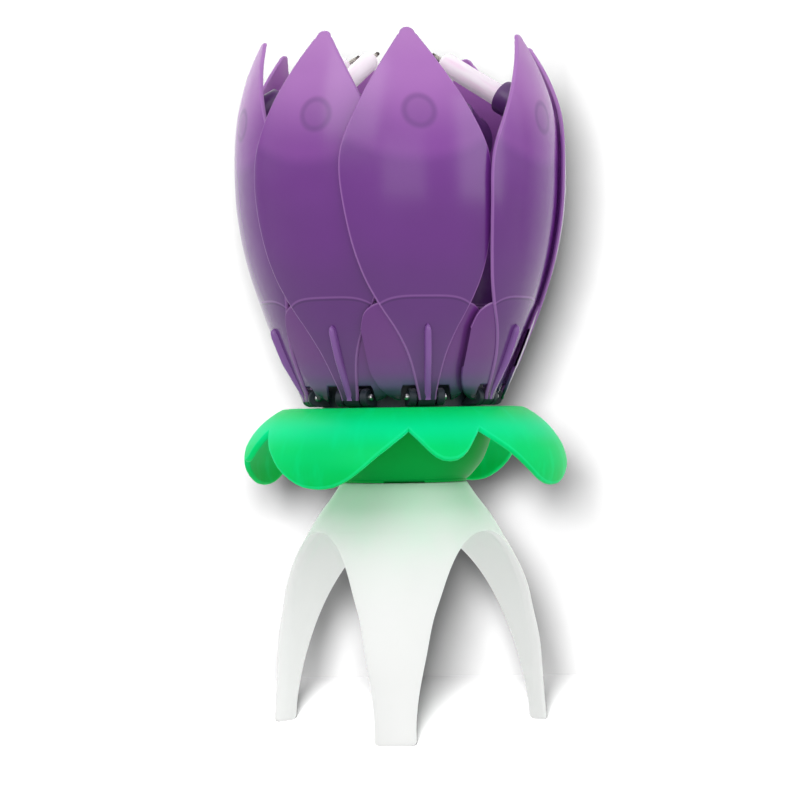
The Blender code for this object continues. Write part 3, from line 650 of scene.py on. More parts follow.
@dataclass(frozen=True)
class Finish:
    """A surface finish, here with a plain colour in slightly darker and lighter patches."""

    name: str
    colour: Colour
    roughness: float = 0.3
    metallic: float = 0.0
    coat: float = 0.0
    coat_roughness: float = 0.06
    wave: float = 0.5
    skin: float = 0.3
    bump_mm: float = 0.03
    bump_strength: float = 0.6
    wear: float = 0.04
    mottle: float = 0.08
    rough_mottle: float = 0.03
    glow: float = 0.0
    glow_mm: float = 1.0
    gloss: float = 0.5
    # Strength of a painted glow in the finish's own colour.
    through: float = 0.0
    dark_share: float = 0.88
    patches: float = 90.0

    def dark(self) -> Colour:
        """Return the colour of the darker patches."""
        return tuple(channel * self.dark_share for channel in self.colour)

    def grained(self, web: Web, scale: Colour, detail: float, low: float, high: float) -> Socket:
        """Return the colour with a stretched grain of its darker shade."""
        grain = web.step(web.noise(web.stretched(scale), 1.0, detail), low, high)
        return web.blend(grain, self.dark(), self.colour)

    def paint(self, web: Web) -> Socket:
        """Return the colour over the surface."""
        patch = web.noise(web.place(), self.patches, 3.0)
        return web.blend(web.step(patch, *SOFT_LIMITS), self.dark(), self.colour)

    def build(self, effects: Effects) -> bpy.types.Material:
        """Build the material.

        Args:
            effects: The shared node groups.

        Returns:
            The new material.
        """
        material = bpy.data.materials.new(self.name)
        material.use_nodes = True
        material.diffuse_color = (*self.colour, 1.0)
        web = Web(material.node_tree, effects)
        shader = material.node_tree.nodes["Principled BSDF"]
        moulding = web.group(effects.moulding, Wave=self.wave, Skin=self.skin)
        wear = web.group(effects.wear, Amount=self.wear)
        shade = web.step(moulding.outputs["Mottle"], 0.0, 1.0, 1.0 - self.mottle, 1.0)
        tinted = web.blend(1.0, self.paint(web), web.grey(shade), "MULTIPLY")
        uneven = web.step(moulding.outputs["Mottle"], 0.0, 1.0, -self.rough_mottle, self.rough_mottle)
        rough = web.calc("ADD", web.plus(uneven, self.roughness), wear.outputs["Mask"], True)
        bump = web.node("ShaderNodeBump", None, Height=moulding.outputs["Height"], Strength=self.bump_strength,
                        Distance=self.bump_mm * MM)
        for socket, output in (("Base Color", tinted), ("Emission Color", tinted), ("Roughness", rough),
                               ("Normal", bump.outputs[0])):
            web.feed(shader.inputs[socket], output)
        # The emission is a painted glow in the finish's own colour, as light coming through the material.
        for socket, value in (("Emission Strength", self.through), ("Metallic", self.metallic),
                              ("Specular IOR Level", self.gloss), ("Coat Weight", self.coat),
                              ("Coat Roughness", self.coat_roughness), ("Subsurface Weight", self.glow),
                              ("Subsurface Radius", WHITE), ("Subsurface Scale", self.glow_mm * MM)):
            shader.inputs[socket].default_value = value
        return material


@dataclass(frozen=True)
class EdgedFinish(Finish):
    """A moulding whose colour changes along it, with a painted highlight along its edge."""

    tones: Stops = ()
    rim_mm: float = 0.5
    rim_highlight_share: float = 0.4
    rim_highlight_tone: Colour = (0.36, 0.16, 0.45)

    def middle(self, web: Web) -> Socket:
        """Return the colour away from the edge."""
        return web.ramp(web.mark(Mark.SHARE), self.tones)

    def paint(self, web: Web) -> Socket:
        """Return the colour over the surface."""
        # A painted highlight in a band along the edge.
        return web.blend(web.rim(self.rim_mm, self.rim_highlight_share), self.middle(web), self.rim_highlight_tone)


@dataclass(frozen=True)
class BladeFinish(EdgedFinish):
    """A blade with painted light and shade: a paler painted tip where light comes through, painted shade lower down,
    and painted shade and highlight where its cup and the leaf behind it show through.
    """

    shade_scallop: float = 0.085
    span_mm: float = 16.5
    aside_mm: float = 0.8
    height_mm: float = 69.6
    cup_share: float = 0.766
    cup_shade_disc: Fade = (2.5, 3.9, 0.20, 0.0)
    cup_shade_ring: tuple[Fade, Fade] = ((1.9, 2.8, 0.0, 0.26), (2.9, 3.8, 1.0, 0.0))
    cup_shade_tone: Colour = (0.085, 0.025, 0.155)
    leaf_top: float = 0.2687
    leaf_fall: float = 0.134
    # Painted shade below the arc of the leaf behind the blade, then a dark painted shadow line and a pale painted
    # highlight line along the arc.
    leaf_shade_fade: Fade = (-0.004, 0.0, 0.06, 0.0)
    leaf_shade_tone: Colour = (0.072, 0.014, 0.125)
    leaf_shade_and_highlight_lines: tuple[tuple[float, Fade, Colour], ...] = (
        (-0.002, (0.001, 0.004, 0.45, 0.0), (0.045, 0.010, 0.085)),
        (0.004, (0.001, 0.004, 0.40, 0.0), (0.33, 0.13, 0.42)))

    def _cup(self, web: Web, span: Socket, share: Socket) -> Socket:
        """Make the mask of the painted shade where the cup behind the blade shows through.

        Args:
            web: The web to work in.
            span: The mark across the blade.
            share: The mark along it.

        Returns:
            The mask's output.
        """
        across = web.minus(web.times(span, self.span_mm), self.aside_mm)
        up = web.times(web.minus(share, self.cup_share), self.height_mm)
        far = web.calc("SQRT", web.plus(web.times(across, across), web.times(up, up)))
        inner, outer = (web.step(far, *fade) for fade in self.cup_shade_ring)
        return web.plus(web.step(far, *self.cup_shade_disc), web.times(inner, outer))

    def middle(self, web: Web) -> Socket:
        """Paint the blade away from its edge.

        Args:
            web: The web to work in.

        Returns:
            The colour's output.
        """
        span, share = web.mark(Mark.SPAN), web.mark(Mark.SHARE)
        # Painted light and shade: dark painted shade at the foot and lower blade, a paler painted tip where light comes
        # through, the edge of the shade curving up towards the sides.
        tall = web.ramp(web.minus(share, web.times(web.times(span, span), self.shade_scallop)), self.tones)
        # Painted shade where the cup behind the blade shows through it.
        cup_shaded = web.blend(self._cup(web, span, share), tall, self.cup_shade_tone)
        # Painted shade below the leaf's arc, and painted shadow and highlight lines along it.
        fall = web.times(web.calc("POWER", web.size(span), 4.0), self.leaf_fall)
        over = web.minus(share, web.minus(self.leaf_top, fall))
        colour = web.blend(web.step(over, *self.leaf_shade_fade), cup_shaded, self.leaf_shade_tone)
        for place, fade, tone in self.leaf_shade_and_highlight_lines:
            colour = web.blend(web.step(web.size(web.minus(over, place)), *fade), colour, tone)
        return colour


@dataclass(frozen=True)
class CollarFinish(EdgedFinish):
    """The collar, with faint lighter streaks that run out to its lobes."""

    flow_scale: tuple[float, float] = (60.0, 1.6)
    flow_fade: Fade = (0.50, 0.80, 0.0, 0.4)
    flow_tone: Colour = (0.0, 0.86, 0.33)

    def middle(self, web: Web) -> Socket:
        """Return the colour away from the edge."""
        flow = web.step(web.flow(*self.flow_scale, 4.0), *self.flow_fade)
        return web.blend(flow, super().middle(web), self.flow_tone)


@dataclass(frozen=True)
class StandFinish(Finish):
    """The milky stand, with painted green light at its top, as from the green parts above it."""

    patch_scale: Colour = (160.0, 160.0, 70.0)
    unevenness: float = 0.004
    green_light_limits: tuple[float, float] = (0.031, 0.052)
    green_light_tone: Colour = (0.77, 0.98, 0.84)

    def paint(self, web: Web) -> Socket:
        """Paint the stand.

        Args:
            web: The web to work in.

        Returns:
            The colour's output.
        """
        patch = web.noise(web.stretched(self.patch_scale), 1.0, 3.0)
        uneven = web.plus(web.height(web.place()), web.step(patch, 0.1, 0.9, -self.unevenness, self.unevenness))
        # Painted green light, strongest at the top of the stand.
        return web.blend(web.step(uneven, *self.green_light_limits), self.colour, self.green_light_tone)


@dataclass(frozen=True)
class WaxFinish(Finish):
    """Wax with a pink cast in streaks along the candle."""

    streak_scale: tuple[float, float] = (5.0, 3.0)
    streak_fade: Fade = (0.42, 0.70, 0.0, 0.75)
    streak_tone: Colour = (0.84, 0.62, 0.78)

    def paint(self, web: Web) -> Socket:
        """Return the colour over the surface."""
        return web.blend(web.step(web.flow(*self.streak_scale, 3.0), *self.streak_fade), self.colour, self.streak_tone)


@dataclass(frozen=True)
class YarnFinish(Finish):
    """Twisted yarn, with painted shade in its grooves and scorched brown at its end."""

    dark_share: float = 0.45
    waves: tuple[float, float] = (19.0, 60.0)
    groove_shade_limits: tuple[float, float] = (-0.9, 0.1)
    scorch_limits: tuple[float, float] = (0.72, 0.92)
    scorch_tone: Colour = (0.05, 0.035, 0.03)

    def paint(self, web: Web) -> Socket:
        """Paint the yarn.

        Args:
            web: The web to work in.

        Returns:
            The colour's output.
        """
        turn, along = web.mark(Mark.SPAN), web.mark(Mark.SHARE)
        phase = web.plus(web.times(turn, self.waves[0]), web.times(along, self.waves[1]))
        # Painted shade in the grooves between the strands.
        yarn = web.blend(web.step(web.calc("SINE", phase), *self.groove_shade_limits), self.dark(), self.colour)
        return web.blend(web.step(along, *self.scorch_limits), yarn, self.scorch_tone)


@dataclass(frozen=True)
class PaperFinish(Finish):
    """Rolled paper with its spiral seam and fibres."""

    dark_share: float = 0.82
    turns: float = 4.0
    seam_limits: tuple[float, float] = (0.46, 0.49)
    seam_tone: Colour = (0.30, 0.24, 0.20)
    fibre_scale: Colour = (900.0, 900.0, 4000.0)

    def paint(self, web: Web) -> Socket:
        """Paint the paper.

        Args:
            web: The web to work in.

        Returns:
            The colour's output.
        """
        turn, along = web.mark(Mark.SPAN), web.mark(Mark.SHARE)
        spiral = web.calc("FRACT", web.plus(turn, web.times(along, self.turns)))
        seam = web.step(web.size(web.minus(spiral, 0.5)), *self.seam_limits)
        return web.blend(seam, self.grained(web, self.fibre_scale, 3.0, 0.35, 0.7), self.seam_tone)


@dataclass(frozen=True)
class BoardFinish(Finish):
    """A circuit board with pale tracks under its mask."""

    cell_scale: float = 420.0
    track_fade: Fade = (0.04, 0.10, 1.0, 0.0)
    track_tone: Colour = (0.10, 0.42, 0.16)

    def paint(self, web: Web) -> Socket:
        """Return the colour over the surface."""
        cells = web.node("ShaderNodeTexVoronoi", {"feature": "DISTANCE_TO_EDGE"}, Vector=web.place(),
                         Scale=self.cell_scale)
        return web.blend(web.step(cells.outputs["Distance"], *self.track_fade), self.colour, self.track_tone)


@dataclass(frozen=True)
class BrushedFinish(Finish):
    """Metal with fine turned lines."""

    dark_share: float = 0.72
    line_scale: Colour = (300.0, 300.0, 6000.0)

    def paint(self, web: Web) -> Socket:
        """Return the colour over the surface."""
        return self.grained(web, self.line_scale, 2.0, 0.3, 0.7)


class Look(Enum):
    """The object's finishes."""

    # The blade's tones are painted light and shade: painted shade low down, a paler painted tip.
    BLADE = BladeFinish(
        "blade_plastic", (0.15, 0.026, 0.24), 0.20, rim_mm=0.55, rim_highlight_share=0.55, rim_highlight_tone=(0.42, 0.18, 0.52),
        tones=((0.0, (0.035, 0.022, 0.065)), (0.06, (0.122, 0.046, 0.190)), (0.25, (0.118, 0.027, 0.192)),
               (0.45, (0.138, 0.023, 0.225)), (0.615, (0.163, 0.030, 0.258)), (0.665, (0.225, 0.048, 0.325)),
               (0.88, (0.405, 0.150, 0.495)), (1.0, (0.460, 0.190, 0.540))))
    # The leaf's tones hold painted shade at its foot: near black at the bottom, slate above, then its own purple.
    LEAF = EdgedFinish(
        "leaf_plastic", (0.145, 0.03, 0.215), 0.20,
        tones=((0.0, (0.004, 0.012, 0.016)), (0.012, (0.030, 0.042, 0.072)), (0.035, (0.105, 0.070, 0.185)),
               (0.075, (0.140, 0.052, 0.215)), (0.12, (0.150, 0.042, 0.215)), (0.27, (0.145, 0.030, 0.215))))
    RIB = Finish("rib_plastic", (0.240, 0.090, 0.360), 0.30)
    # The hub and the petals' hinges are purple plastic painted near black as painted shade, since they sit in shade
    # under the bud.
    HUB = Finish("hub_plastic_in_shade", (0.020, 0.028, 0.040), 0.42, gloss=0.3)
    CUP = Finish("cup_plastic", (0.115, 0.034, 0.180), 0.32)
    COLLAR = CollarFinish(
        "collar_plastic", (0.0, 0.72, 0.17), 0.42, gloss=0.05, glow=0.35, glow_mm=2.0,
        rim_mm=0.35, rim_highlight_share=0.3, rim_highlight_tone=(0.02, 0.86, 0.38),
        tones=((0.0, (0.0, 0.70, 0.150)), (0.25, (0.0, 0.81, 0.300)), (0.55, (0.0, 0.71, 0.180)),
               (1.0, (0.0, 0.62, 0.115))))
    # The bowl is the collar's green painted darker as painted shade, since it sits in shade under the collar's lobes.
    BOWL = Finish("bowl_plastic_in_shade", (0.0, 0.40, 0.060), 0.40, gloss=0.06)
    STAND = StandFinish("stand_plastic", (0.865, 0.875, 0.86), 0.34, gloss=0.3, mottle=0.03, glow=0.5, glow_mm=5.0)
    WHITE = Finish("white_plastic", (0.80, 0.80, 0.78), 0.38)
    # The wax has a painted glow of its own colour, as light coming through it.
    WAX = WaxFinish("candle_wax", (0.86, 0.79, 0.85), 0.36, glow=0.7, glow_mm=3.0, through=0.20)
    YARN = YarnFinish("cotton_yarn", (0.62, 0.58, 0.52), 0.9, wear=0.0)
    PAPER = PaperFinish("rolled_paper", (0.80, 0.77, 0.72), 0.85, wear=0.0)
    STEEL = BrushedFinish("plain_steel", (0.62, 0.62, 0.64), 0.32, 1.0)
    BRASS = BrushedFinish("plain_brass", (0.75, 0.55, 0.22), 0.32, 1.0)
    BOARD = BoardFinish("board_mask", (0.02, 0.22, 0.08), 0.42, coat=0.3)
    RESIN = Finish("chip_resin", (0.012, 0.012, 0.013), 0.35, wave=1.0, bump_mm=0.1)


Paints = dict[Look, bpy.types.Material]


@dataclass
class Piece:
    """One finished piece and what it stands for."""

    name: str
    mesh: Mesh
    material: bpy.types.Material
    body: str
    slot: Slot
    nodes: tuple[str, ...] = ()
    turn: Matrix = field(default_factory=lambda: Matrix.Identity(4))

    def show(self) -> None:
        """Put the piece in the scene, on its body."""
        mesh = self.mesh.copy()
        mesh.transform(self.turn)
        mesh.materials.append(self.material)
        thing = bpy.data.objects.new(self.name, mesh)
        bpy.context.scene.collection.objects.link(thing)
        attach(thing, self.body)
        if self.nodes:
            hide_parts(*self.nodes)
        LOG.info("%s rides on %s with %d faces", self.name, self.body, len(self.mesh.polygons))


@dataclass(frozen=True)
class BudForm:
    """Shape of the closed bud and of its hinges, which every petal follows."""

    count: int = 8
    first_deg: float = 14.0
    hinge_radius: float = 0.0180
    hinge_z: float = 0.0654
    knuckle_radius: float = 0.0017
    knuckle_length: float = 0.0034
    height: float = 0.0696
    foot_radius: float = 0.0199
    radius: float = 0.0322
    step_per_deg: float = 0.0014 / 45
    half_width: float = 0.0152
    tip_radius: float = 0.0016
    twist_power: float = 0.75
    radius_shares: Table = ((0.0, 0.0), (0.12, 0.306), (0.24, 0.563), (0.38, 0.819), (0.52, 0.966),
                            (0.655, 1.0), (0.79, 0.953), (0.90, 0.801), (1.0, 0.594))
    width_shares: Table = ((0.0, 0.118), (0.11, 0.25), (0.18, 0.40), (0.25, 0.60), (0.33, 0.785), (0.43, 0.92),
                           (0.56, 1.0), (0.64, 0.99), (0.70, 0.91), (0.80, 0.665), (0.90, 0.37), (0.965, 0.165),
                           (1.0, 0.056))

    def turn(self, number: int) -> Matrix:
        """Return the turn from the front to a petal's place."""
        return facing(self.first_deg + (number - 1) * 360 / self.count)

    def lying(self) -> Matrix:
        """Return the front hinge's frame, with its Z axis along the pin."""
        place = Matrix.Translation((0, -self.hinge_radius, self.hinge_z))
        return place @ Matrix.Rotation(math.radians(90), 4, "Y")

    def upright(self, aside: float, inward: int) -> Matrix:
        """Return the front hinge's frame for a plate across the pin, its X axis inward (1) or outward (-1)."""
        return Matrix(((0, 0, 1, aside), (inward, 0, 0, -self.hinge_radius), (0, 1, 0, self.hinge_z), (0, 0, 0, 1)))

    def radius_at(self, share: float) -> float:
        """Return the outer radius at a share of the height."""
        return self.foot_radius + (self.radius - self.foot_radius) * smooth_share(self.radius_shares, share)

    def half_width_at(self, share: float) -> float:
        """Work out half the blade's width, round at the tip.

        Args:
            share: Where, as a share of the height.

        Returns:
            Half the width.
        """
        width = self.half_width * smooth_share(self.width_shares, share)
        down = self.height * (1 - share)
        if down >= self.tip_radius:
            return width
        return min(width, math.sqrt(max(2 * self.tip_radius * down - down**2, 0.0)) + WELD)


@dataclass(frozen=True)
class CupForm:
    """Sizes of the candle's cup, the candle and its wick."""

    height_share: float = 0.765
    rise_deg: float = 31.0
    radius: float = 0.0033
    length: float = 0.0090
    floor: float = 0.0022
    bore: float = 0.0022
    flare: float = 0.0007
    soft: float = 0.00025
    sides: int = 36
    candle_radius: float = 0.0019
    candle_length: float = 0.0220
    candle_shoulder: float = 0.0013
    candle_wave: float = 0.012
    wick_radius: float = 0.0004
    wick_length: float = 0.0042
    wick_depth: float = 0.0020
    wick_bend: float = 0.00035
    gap: float = 0.0003


@dataclass
class PetalShape:
    """Meshes of one petal moulding, made with the petal at the front."""

    bud: BudForm
    cup: CupForm
    twist_deg: float = 0.0
    stand_off: float = 0.0
    thickness: float = 0.0008
    blade_rows: int = 72
    blade_steps: int = 28
    span_deg: float = 30.0
    leaf_columns: int = 72
    leaf_steps: int = 16
    leaf_thickness: float = 0.0006
    leaf_inset: float = 0.00045
    leaf_height: float = 0.0187
    leaf_flare_deg: float = 28.5
    leaf_shares: Table = ((0.0, 1.0), (0.42, 0.985), (0.68, 0.955), (0.82, 0.91), (0.92, 0.84), (1.0, 0.70))
    leaf_foot_mm: float = 0.6
    shoulder_share: float = 0.30
    leaf_sink: float = 0.0010
    foot_sink: float = 0.0006
    notch_half_width: float = 0.0046
    notch_height: float = 0.0022
    notch_ease_deg: float = 1.5
    notch_spare_deg: float = 0.8
    rib_rows: int = 24
    rib_width: float = 0.0014
    rib_height: float = 0.0138
    rib_proud: float = 0.0012
    rib_foot: float = 0.0002
    rib_taper_share: float = 0.14
    pin_hole_radius: float = 0.0009
    knuckle_sides: int = 28
    knuckle_soft: float = 0.0002
    tail_length: float = 0.0046
    tail_width: float = 0.0024
    tail_thickness: float = 0.0012

    def twist_at(self, share: float) -> float:
        """Return how far the petal has turned aside at a share of its height, in degrees."""
        return self.twist_deg * max(share, 0.0) ** self.bud.twist_power

    def lift_at(self, share: float) -> float:
        """Return how far the petal stands off the bud at a share of its height."""
        return self.stand_off * math.sin(math.pi * min(max(share, 0.0), 1.0))

    def point(self, side_deg: float, share: float, depth: float) -> Vector:
        """Place a point of the petal.

        Args:
            side_deg: Angle from the petal's middle.
            share: Share of its height.
            depth: Depth under its outer face.

        Returns:
            The point.
        """
        outer = self.bud.radius_at(share) - self.bud.step_per_deg * side_deg
        height = self.bud.hinge_z + self.bud.height * share
        return polar(side_deg + self.twist_at(share), outer - depth + self.lift_at(share), height)

    def blade(self) -> Mesh:
        """Build the pointed blade with round edges.

        Returns:
            Its mesh.
        """
        skin = Skin()
        rows = []
        sunk = self.foot_sink / self.bud.height
        thin = self.thickness / 2
        for t in even(1.0, 0.0, self.blade_rows):
            share = 1 - (1 + sunk) * t**1.5
            width = self.bud.half_width_at(share)
            down = self.bud.height * (1 - share)
            half = thin * math.sqrt(max(1 - max(1 - down / thin, 0.0) ** 2, 0.0)) + WELD
            loop = thin_section(-width, width, min(half, width), half, self.blade_steps)
            sides = [math.degrees(x / self.bud.radius_at(share)) for x, _ in loop]
            points = [self.point(side, share, thin + depth) for side, (_, depth) in zip(sides, loop)]
            edges = [min(width - abs(x), down) / MM for x, _ in loop]
            rows.append(skin.ring(points, [(side / self.span_deg, share, edge) for side, edge in zip(sides, edges)]))
        skin.loft(rows, 0)
        return skin.mesh("blade")

    def leaf(self) -> Mesh:
        """Build the short wide leaf behind the blade's foot.

        Returns:
            Its mesh.
        """
        skin = Skin()
        rows = []
        tall = self.bud.height
        top, notch, sink = self.leaf_height / tall, self.notch_height / tall, self.leaf_sink / tall
        shoulder = top * self.shoulder_share
        notch_deg = math.degrees(self.notch_half_width / self.bud.hinge_radius) - self.notch_spare_deg
        half = self.leaf_thickness / 2
        for s in eased(-1.0, 1.0, self.leaf_columns):
            side = s * self.leaf_flare_deg
            high = top * smooth_share(self.leaf_shares, abs(s))
            low = (shoulder + sink) * (1 - math.sqrt(max(1 - abs(s) ** 4, 0.0))) - sink
            low = notch + (low - notch) * min(max(abs(side) - notch_deg, 0.0) / self.notch_ease_deg, 1.0)
            edge = min(half / tall, (high - low) / 2)
            loop = thin_section(low, high, edge, min(edge * tall, half), self.leaf_steps)
            points = [self.point(side, share, self.leaf_inset + half + depth) for share, depth in loop]
            edges = [min((high - share) * tall / MM, (share - low) * tall / MM + self.leaf_foot_mm)
                     for share, _ in loop]
            rows.append(skin.ring(points, [(s, share, far) for (share, _), far in zip(loop, edges)]))
        skin.loft(rows)
        return skin.mesh("leaf")

    def rib(self) -> Mesh:
        """Build the slim rib up the petal's middle, which tapers off at its top.

        Returns:
            Its mesh.
        """
        skin = Skin()
        rows = []
        sunk = self.thickness / 2
        for t in even(0.0, 1.0, self.rib_rows):
            share = (self.rib_height * t - self.foot_sink * (1 - t)) / self.bud.height
            near = max((t - 1 + self.rib_taper_share) / self.rib_taper_share, 0.0)
            taper = math.sqrt(max(1 - near**2, 0.0))
            half = self.rib_width / 2 * (0.12 + 0.88 * taper)
            proud = (self.rib_foot + (self.rib_proud - self.rib_foot) * min(2 * t, 1.0)) * (0.05 + 0.95 * taper)
            loop = [(half * math.cos(a), sunk - (proud + sunk) * math.sin(a) ** 0.7) for a in eased(0, math.pi, 12)]
            points = [self.point(math.degrees(x / self.bud.radius_at(share)), share, depth) for x, depth in loop]
            rows.append(skin.ring(points, [(x / half, t, 1.0) for x, _ in loop]))
        skin.loft(rows, 0, -1)
        return skin.mesh("rib", 60)

    def hinge(self) -> Mesh:
        """Build the knuckle round the pin and the tail that the plate lifts.

        Returns:
            Their mesh.
        """
        half, count = self.bud.knuckle_length / 2, self.knuckle_sides
        bore, outer, soft = self.pin_hole_radius, self.bud.knuckle_radius, self.knuckle_soft
        profile = [(bore, -half + soft), (bore + soft, -half), (outer - soft, -half), (outer, -half + soft),
                   (outer, half - soft), (outer - soft, half), (bore + soft, half), (bore, half - soft)]
        skin = turned(profile, count, self.bud.lying())
        skin.bridge(range(7 * count, 8 * count), range(count))
        thick, start, end = self.tail_thickness / 2, bore + soft, self.tail_length
        corners = [(start, -thick), (end, -thick), (end, thick), (start, thick)]
        tail = plate(rounded_outline(corners, thick * 0.9, 4), self.tail_width, self.bud.upright(0.0, 1))
        skin.add(tail, Matrix.Identity(4))
        return skin.mesh("hinge")

    def cup_frame(self) -> Matrix:
        """Return the cup's frame: its Z axis runs inward and up from the blade's inner face."""
        place = Matrix.Translation(self.point(0.0, self.cup.height_share, self.thickness))
        turn = facing(self.twist_at(self.cup.height_share))
        return place @ turn @ Matrix.Rotation(math.radians(self.cup.rise_deg - 90), 4, "X")

    def _depth_of(self, point: Vector) -> float:
        """Return how deep a point lies under the blade's outer face."""
        share = (point.z - self.bud.hinge_z) / self.bud.height
        side = math.degrees(math.atan2(point.x, -point.y)) - self.twist_at(share)
        outer = self.bud.radius_at(share) - self.bud.step_per_deg * side
        return outer + self.lift_at(share) - math.hypot(point.x, point.y)

    def _start_at(self, frame: Matrix, x: float, y: float) -> float:
        """Find where a line along the cup's axis meets the middle of the blade's wall.

        Args:
            frame: The cup's frame.
            x: Where the line runs.
            y: Where the line runs.

        Returns:
            The place on the line.
        """
        low, high = -0.006, 0.004
        for _ in range(30):
            middle = (low + high) / 2
            inside = self._depth_of(frame @ Vector((x, y, middle))) > self.thickness / 2
            low, high = (low, middle) if inside else (middle, high)
        return high

    def socket(self) -> Mesh:
        """Build the candle cup, whose foot follows the blade's curve.

        Returns:
            Its mesh.
        """
        form, frame = self.cup, self.cup_frame()
        soft, foot, top = form.soft, form.radius + form.flare, form.length - form.soft
        angles = circle(form.sides)
        starts = [self._start_at(frame, foot * math.sin(a), foot * math.cos(a)) for a in angles]
        levels = [(form.radius + form.flare * (1 - t) ** 6, [start + (top - start) * t for start in starts])
                  for t in even(0.0, 1.0, 8)]
        mouth = [(form.radius - soft * 0.3, form.length - soft * 0.3), (form.radius - soft, form.length),
                 (form.bore + soft, form.length), (form.bore, top), (form.bore, form.floor), (0.0, form.floor)]
        levels += [(radius, [height] * form.sides) for radius, height in mouth]
        skin = Skin()
        rows = []
        for radius, heights in levels:
            points = [frame @ Vector((radius * math.sin(a), radius * math.cos(a), z)) for a, z in zip(angles, heights)]
            rows.append(skin.ring(points, [(0.0, form.height_share, 1.0)] * form.sides))
        skin.loft(rows, 0)
        return skin.mesh("cup")

    def candle(self) -> Mesh:
        """Build the slim wax candle with its round shoulder.

        Returns:
            Its mesh.
        """
        form = self.cup
        radius, length, shoulder, hole = form.candle_radius, form.candle_length, form.candle_shoulder, form.wick_radius
        profile = [(0.0, 0.0), (radius - 0.0003, 0.0), (radius, 0.0003)]
        profile += [(radius * (1 + form.candle_wave * math.sin(9 * t)), length * t) for t in even(0.0, 1.0, 16)[1:-2]]
        profile += [(radius * math.cos(a) ** 0.8, length - shoulder + shoulder * math.sin(a))
                    for a in even(0.0, math.pi / 2, 8)[:-1]]
        profile += [(hole + 0.0002, length), (hole + 0.0001, length - 0.0004), (0.0, length - 0.0005)]
        return turned(profile, 28, self.cup_frame() @ raised(form.floor + form.gap)).mesh("candle", 60)

    def wick(self) -> Mesh:
        """Build the twisted wick, a little bent.

        Returns:
            Its mesh.
        """
        form = self.cup
        frame = self.cup_frame() @ raised(form.floor + 2 * form.gap + form.candle_length - form.wick_depth)
        return twisted(form.wick_radius, form.wick_length, frame, 28, 7.0, form.wick_bend).mesh("wick", 60)


@dataclass
class Bud:
    """The eight petals with their candles."""

    paints: Paints
    form: BudForm = BudForm()
    cup: CupForm = CupForm()
    front_twist_deg: float = -10.5
    front_stand_off: float = 0.0003

    def build(self) -> None:
        """Build every petal on its own body."""
        self._petals(PetalShape(self.form, self.cup, self.front_twist_deg, self.front_stand_off), (1,))
        self._petals(PetalShape(self.form, self.cup), range(2, self.form.count + 1))

    def _petals(self, shape: PetalShape, numbers: Sequence[int]) -> None:
        """Build petals of one shape.

        Args:
            shape: The petal's shape.
            numbers: Which petals have it.
        """
        parts = (("blade", shape.blade(), Look.BLADE, Slot.PURPLE, "petal"),
                 ("leaf", shape.leaf(), Look.LEAF, Slot.PURPLE, ""), ("rib", shape.rib(), Look.RIB, Slot.PURPLE, ""),
                 ("hinge", shape.hinge(), Look.HUB, Slot.PURPLE, ""),
                 ("cup", shape.socket(), Look.CUP, Slot.PURPLE, ""),
                 ("candle", shape.candle(), Look.WAX, Slot.WAX, "candle"),
                 ("wick", shape.wick(), Look.YARN, Slot.COTTON, "wick"))
        for number in numbers:
            for part, mesh, look, slot, node in parts:
                nodes = (f"{node}_{number}",) if node else ()
                Piece(f"flower_{part}_{number}", mesh, self.paints[look], f"petal_{number}", slot, nodes,
                      self.form.turn(number)).show()


